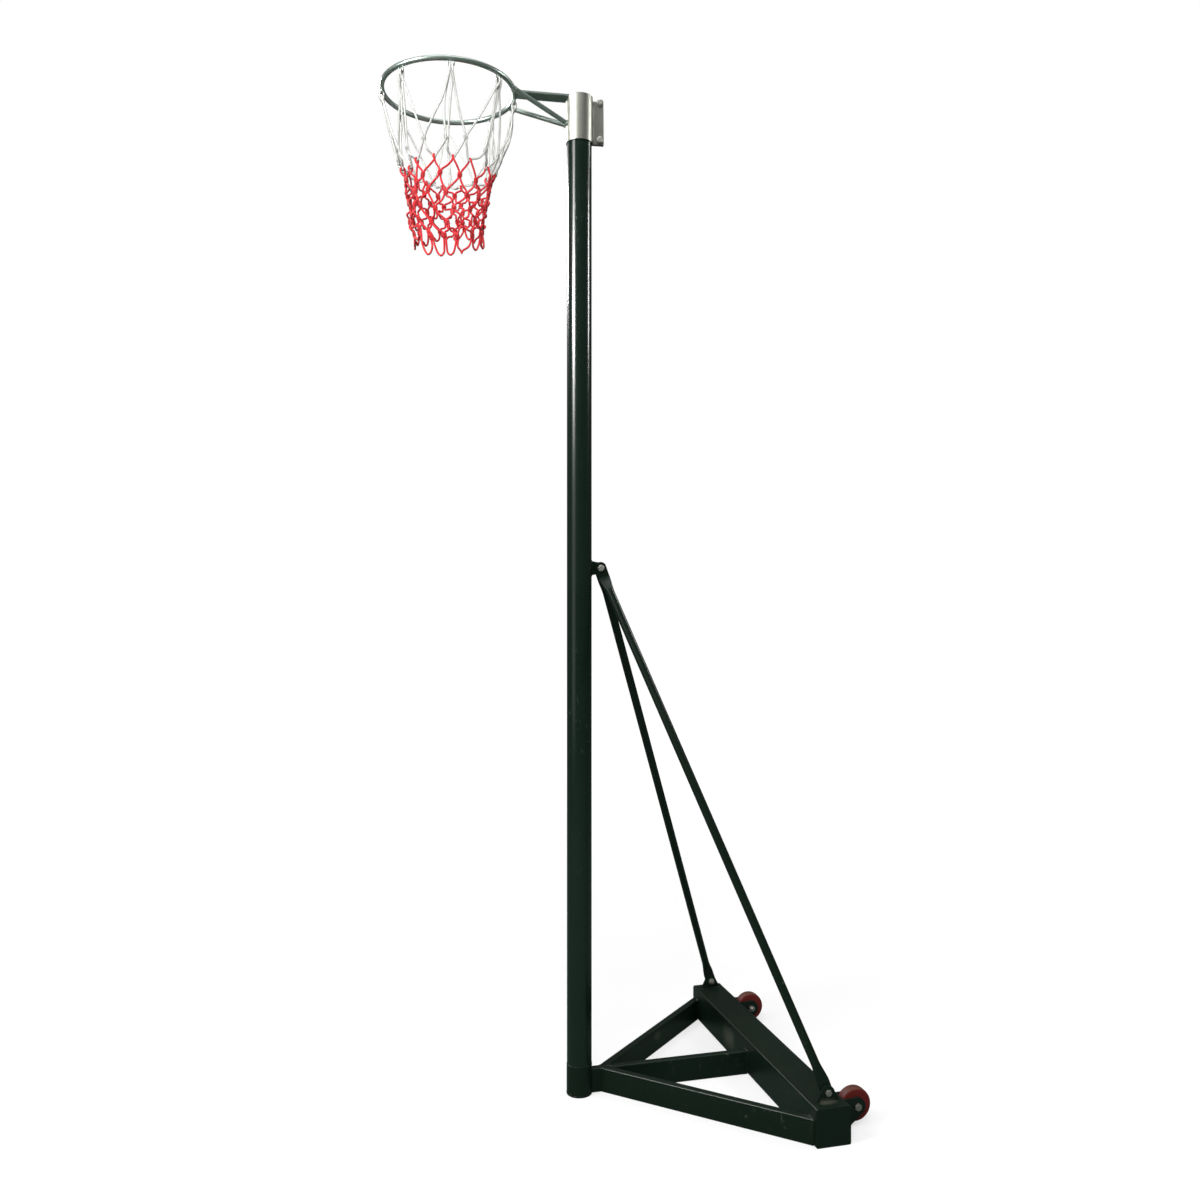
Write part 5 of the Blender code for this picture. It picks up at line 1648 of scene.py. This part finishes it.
def white_loop(place):
    """One loop, starting and ending inside the binding of the knot before its place."""
    left, right = wrap(place - 0.5), wrap(place + 0.5)
    even_is_left = left % 2 == 0
    hook = left if even_is_left else right
    loose = 0.0042 if hook in (2, 0) else chance.uniform(0.0001, 0.0005)
    centre = knot("vee", place)
    onwards = plan(centre)[1]
    bend = [centre + onwards * x + Z * (z + BIGHT) for x, z in arc((0, 0), BIGHT, pi, 2 * pi, 6)]
    start = knot("white", left) + lie("white", left)[2] * BESIDE
    entry, down = through("white", left, 1)
    up_in, up_out = through("white", right, -1, False)
    points = [start, down, sag(down, bend[0], WHITE_LEG), *bend, sag(bend[-1], up_in, WHITE_LEG),
              up_in, up_out]
    crossing = over_hook(hook, 0.0034 if even_is_left else -0.0034)
    if even_is_left:
        crossing = crossing[::-1]
    meeting = (crossing[0] + crossing[-1]) / 2
    split = meeting.lerp((entry + up_out) / 2, TOGETHER.get(wrap(place), 0.12))
    beside = plan(split)[1] * BESIDE
    points += [*upper_leg(up_out, split + beside, loose), *crossing]
    points += [*upper_leg(entry, split - beside, loose * 0.7)[::-1], entry, start]
    return smooth_line(points)


white_routes = [white_loop(wrap(i + 0.5)) for i in range(PLACES)]
upper_net = cords("upper_net", white_routes, CORD)
white_turns = cords("white_turns", [binding("white", wrap(i)) for i in range(PLACES)], TWINE)
dress(join(upper_net, white_turns), HEAD, "white_cord", "net_white")

# %% Bends of the lower net
TUCK = 0.005
FOOT_WIDE = 0.0085
FOOT_NARROW = 0.0018
FOOT_RISE = 0.0062


def foot_of(place, before, after):
    """The open bend at a red loop's foot, between the cords that go down to it and come up."""
    foot = knot("end", place)
    onwards = plan(foot)[1]
    gap = (after - before).length
    narrow = wrap(place) == -2.5
    width = FOOT_NARROW if narrow else min(FOOT_WIDE, gap * 0.27) * chance.uniform(0.8, 1.1)
    tilt = chance.uniform(-0.002, 0.002)
    return [before.lerp(foot, 0.5) - onwards * gap * 0.16,
            foot - onwards * width + Z * (FOOT_RISE + tilt), foot,
            foot + onwards * width + Z * (FOOT_RISE - tilt),
            after.lerp(foot, 0.5) + onwards * gap * 0.16]


def over_bend(place):
    """Over the foot of a white loop."""
    bend = knot("vee", place)
    out, onwards = plan(bend)
    turn = [bend + out * x + Z * z for x, z in arc((0, 0), 2 * CORD + 0.0002, 0, pi, 6)]
    return [turn[0] - Z * TUCK + onwards * 0.0015, *turn, turn[-1] - Z * TUCK - onwards * 0.0015]


print(f"a red cord passes {2 * CORD * 1000:.1f} mm over the middle of each white foot")

# %% Lower net
RED_LEG = 0.0385
TOP_LEG = 0.0345


def red_loop(place):
    """One loop, starting and ending inside the binding of a knot of the third row."""
    left, right = place - 0.5, place + 0.5
    start = knot(3, left) + lie(3, wrap(left))[2] * BESIDE
    points = [start, through(3, left, 1)[1]]

    def visit(row, at, side, downwards):
        entry, leave = through(row, at, side, downwards)
        points.extend([sag(points[-1], entry, RED_LEG), entry, leave])

    visit(4, place, -1, True)
    visit(5, left, 1, True)
    rising = through(5, right, -1, False)
    points.extend([*foot_of(place, points[-1], rising[0]), *rising])
    for row, at, side in ((4, place, 1), (3, right, -1), (2, place, 1), (1, right, -1)):
        visit(row, at, side, False)
    crossing = over_bend(place)
    falling = through(1, left, 1)
    points.extend([sag(points[-1], crossing[0], TOP_LEG), *crossing,
                   sag(crossing[-1], falling[0], TOP_LEG), *falling])
    visit(2, place, -1, True)
    entry = through(3, left, 1)[0]
    points.extend([sag(points[-1], entry, RED_LEG), entry, start])
    return smooth_line(points)


red_routes = [red_loop(wrap(i + 0.5)) for i in range(PLACES)]
lower_net = cords("lower_net", red_routes, CORD)
red_bindings = [binding(row, place) for row, place in KNOTS if row in range(1, 6)]
red_turns = cords("red_turns", red_bindings, TWINE)
dress(join(lower_net, red_turns), HEAD, "red_cord", "net_red")
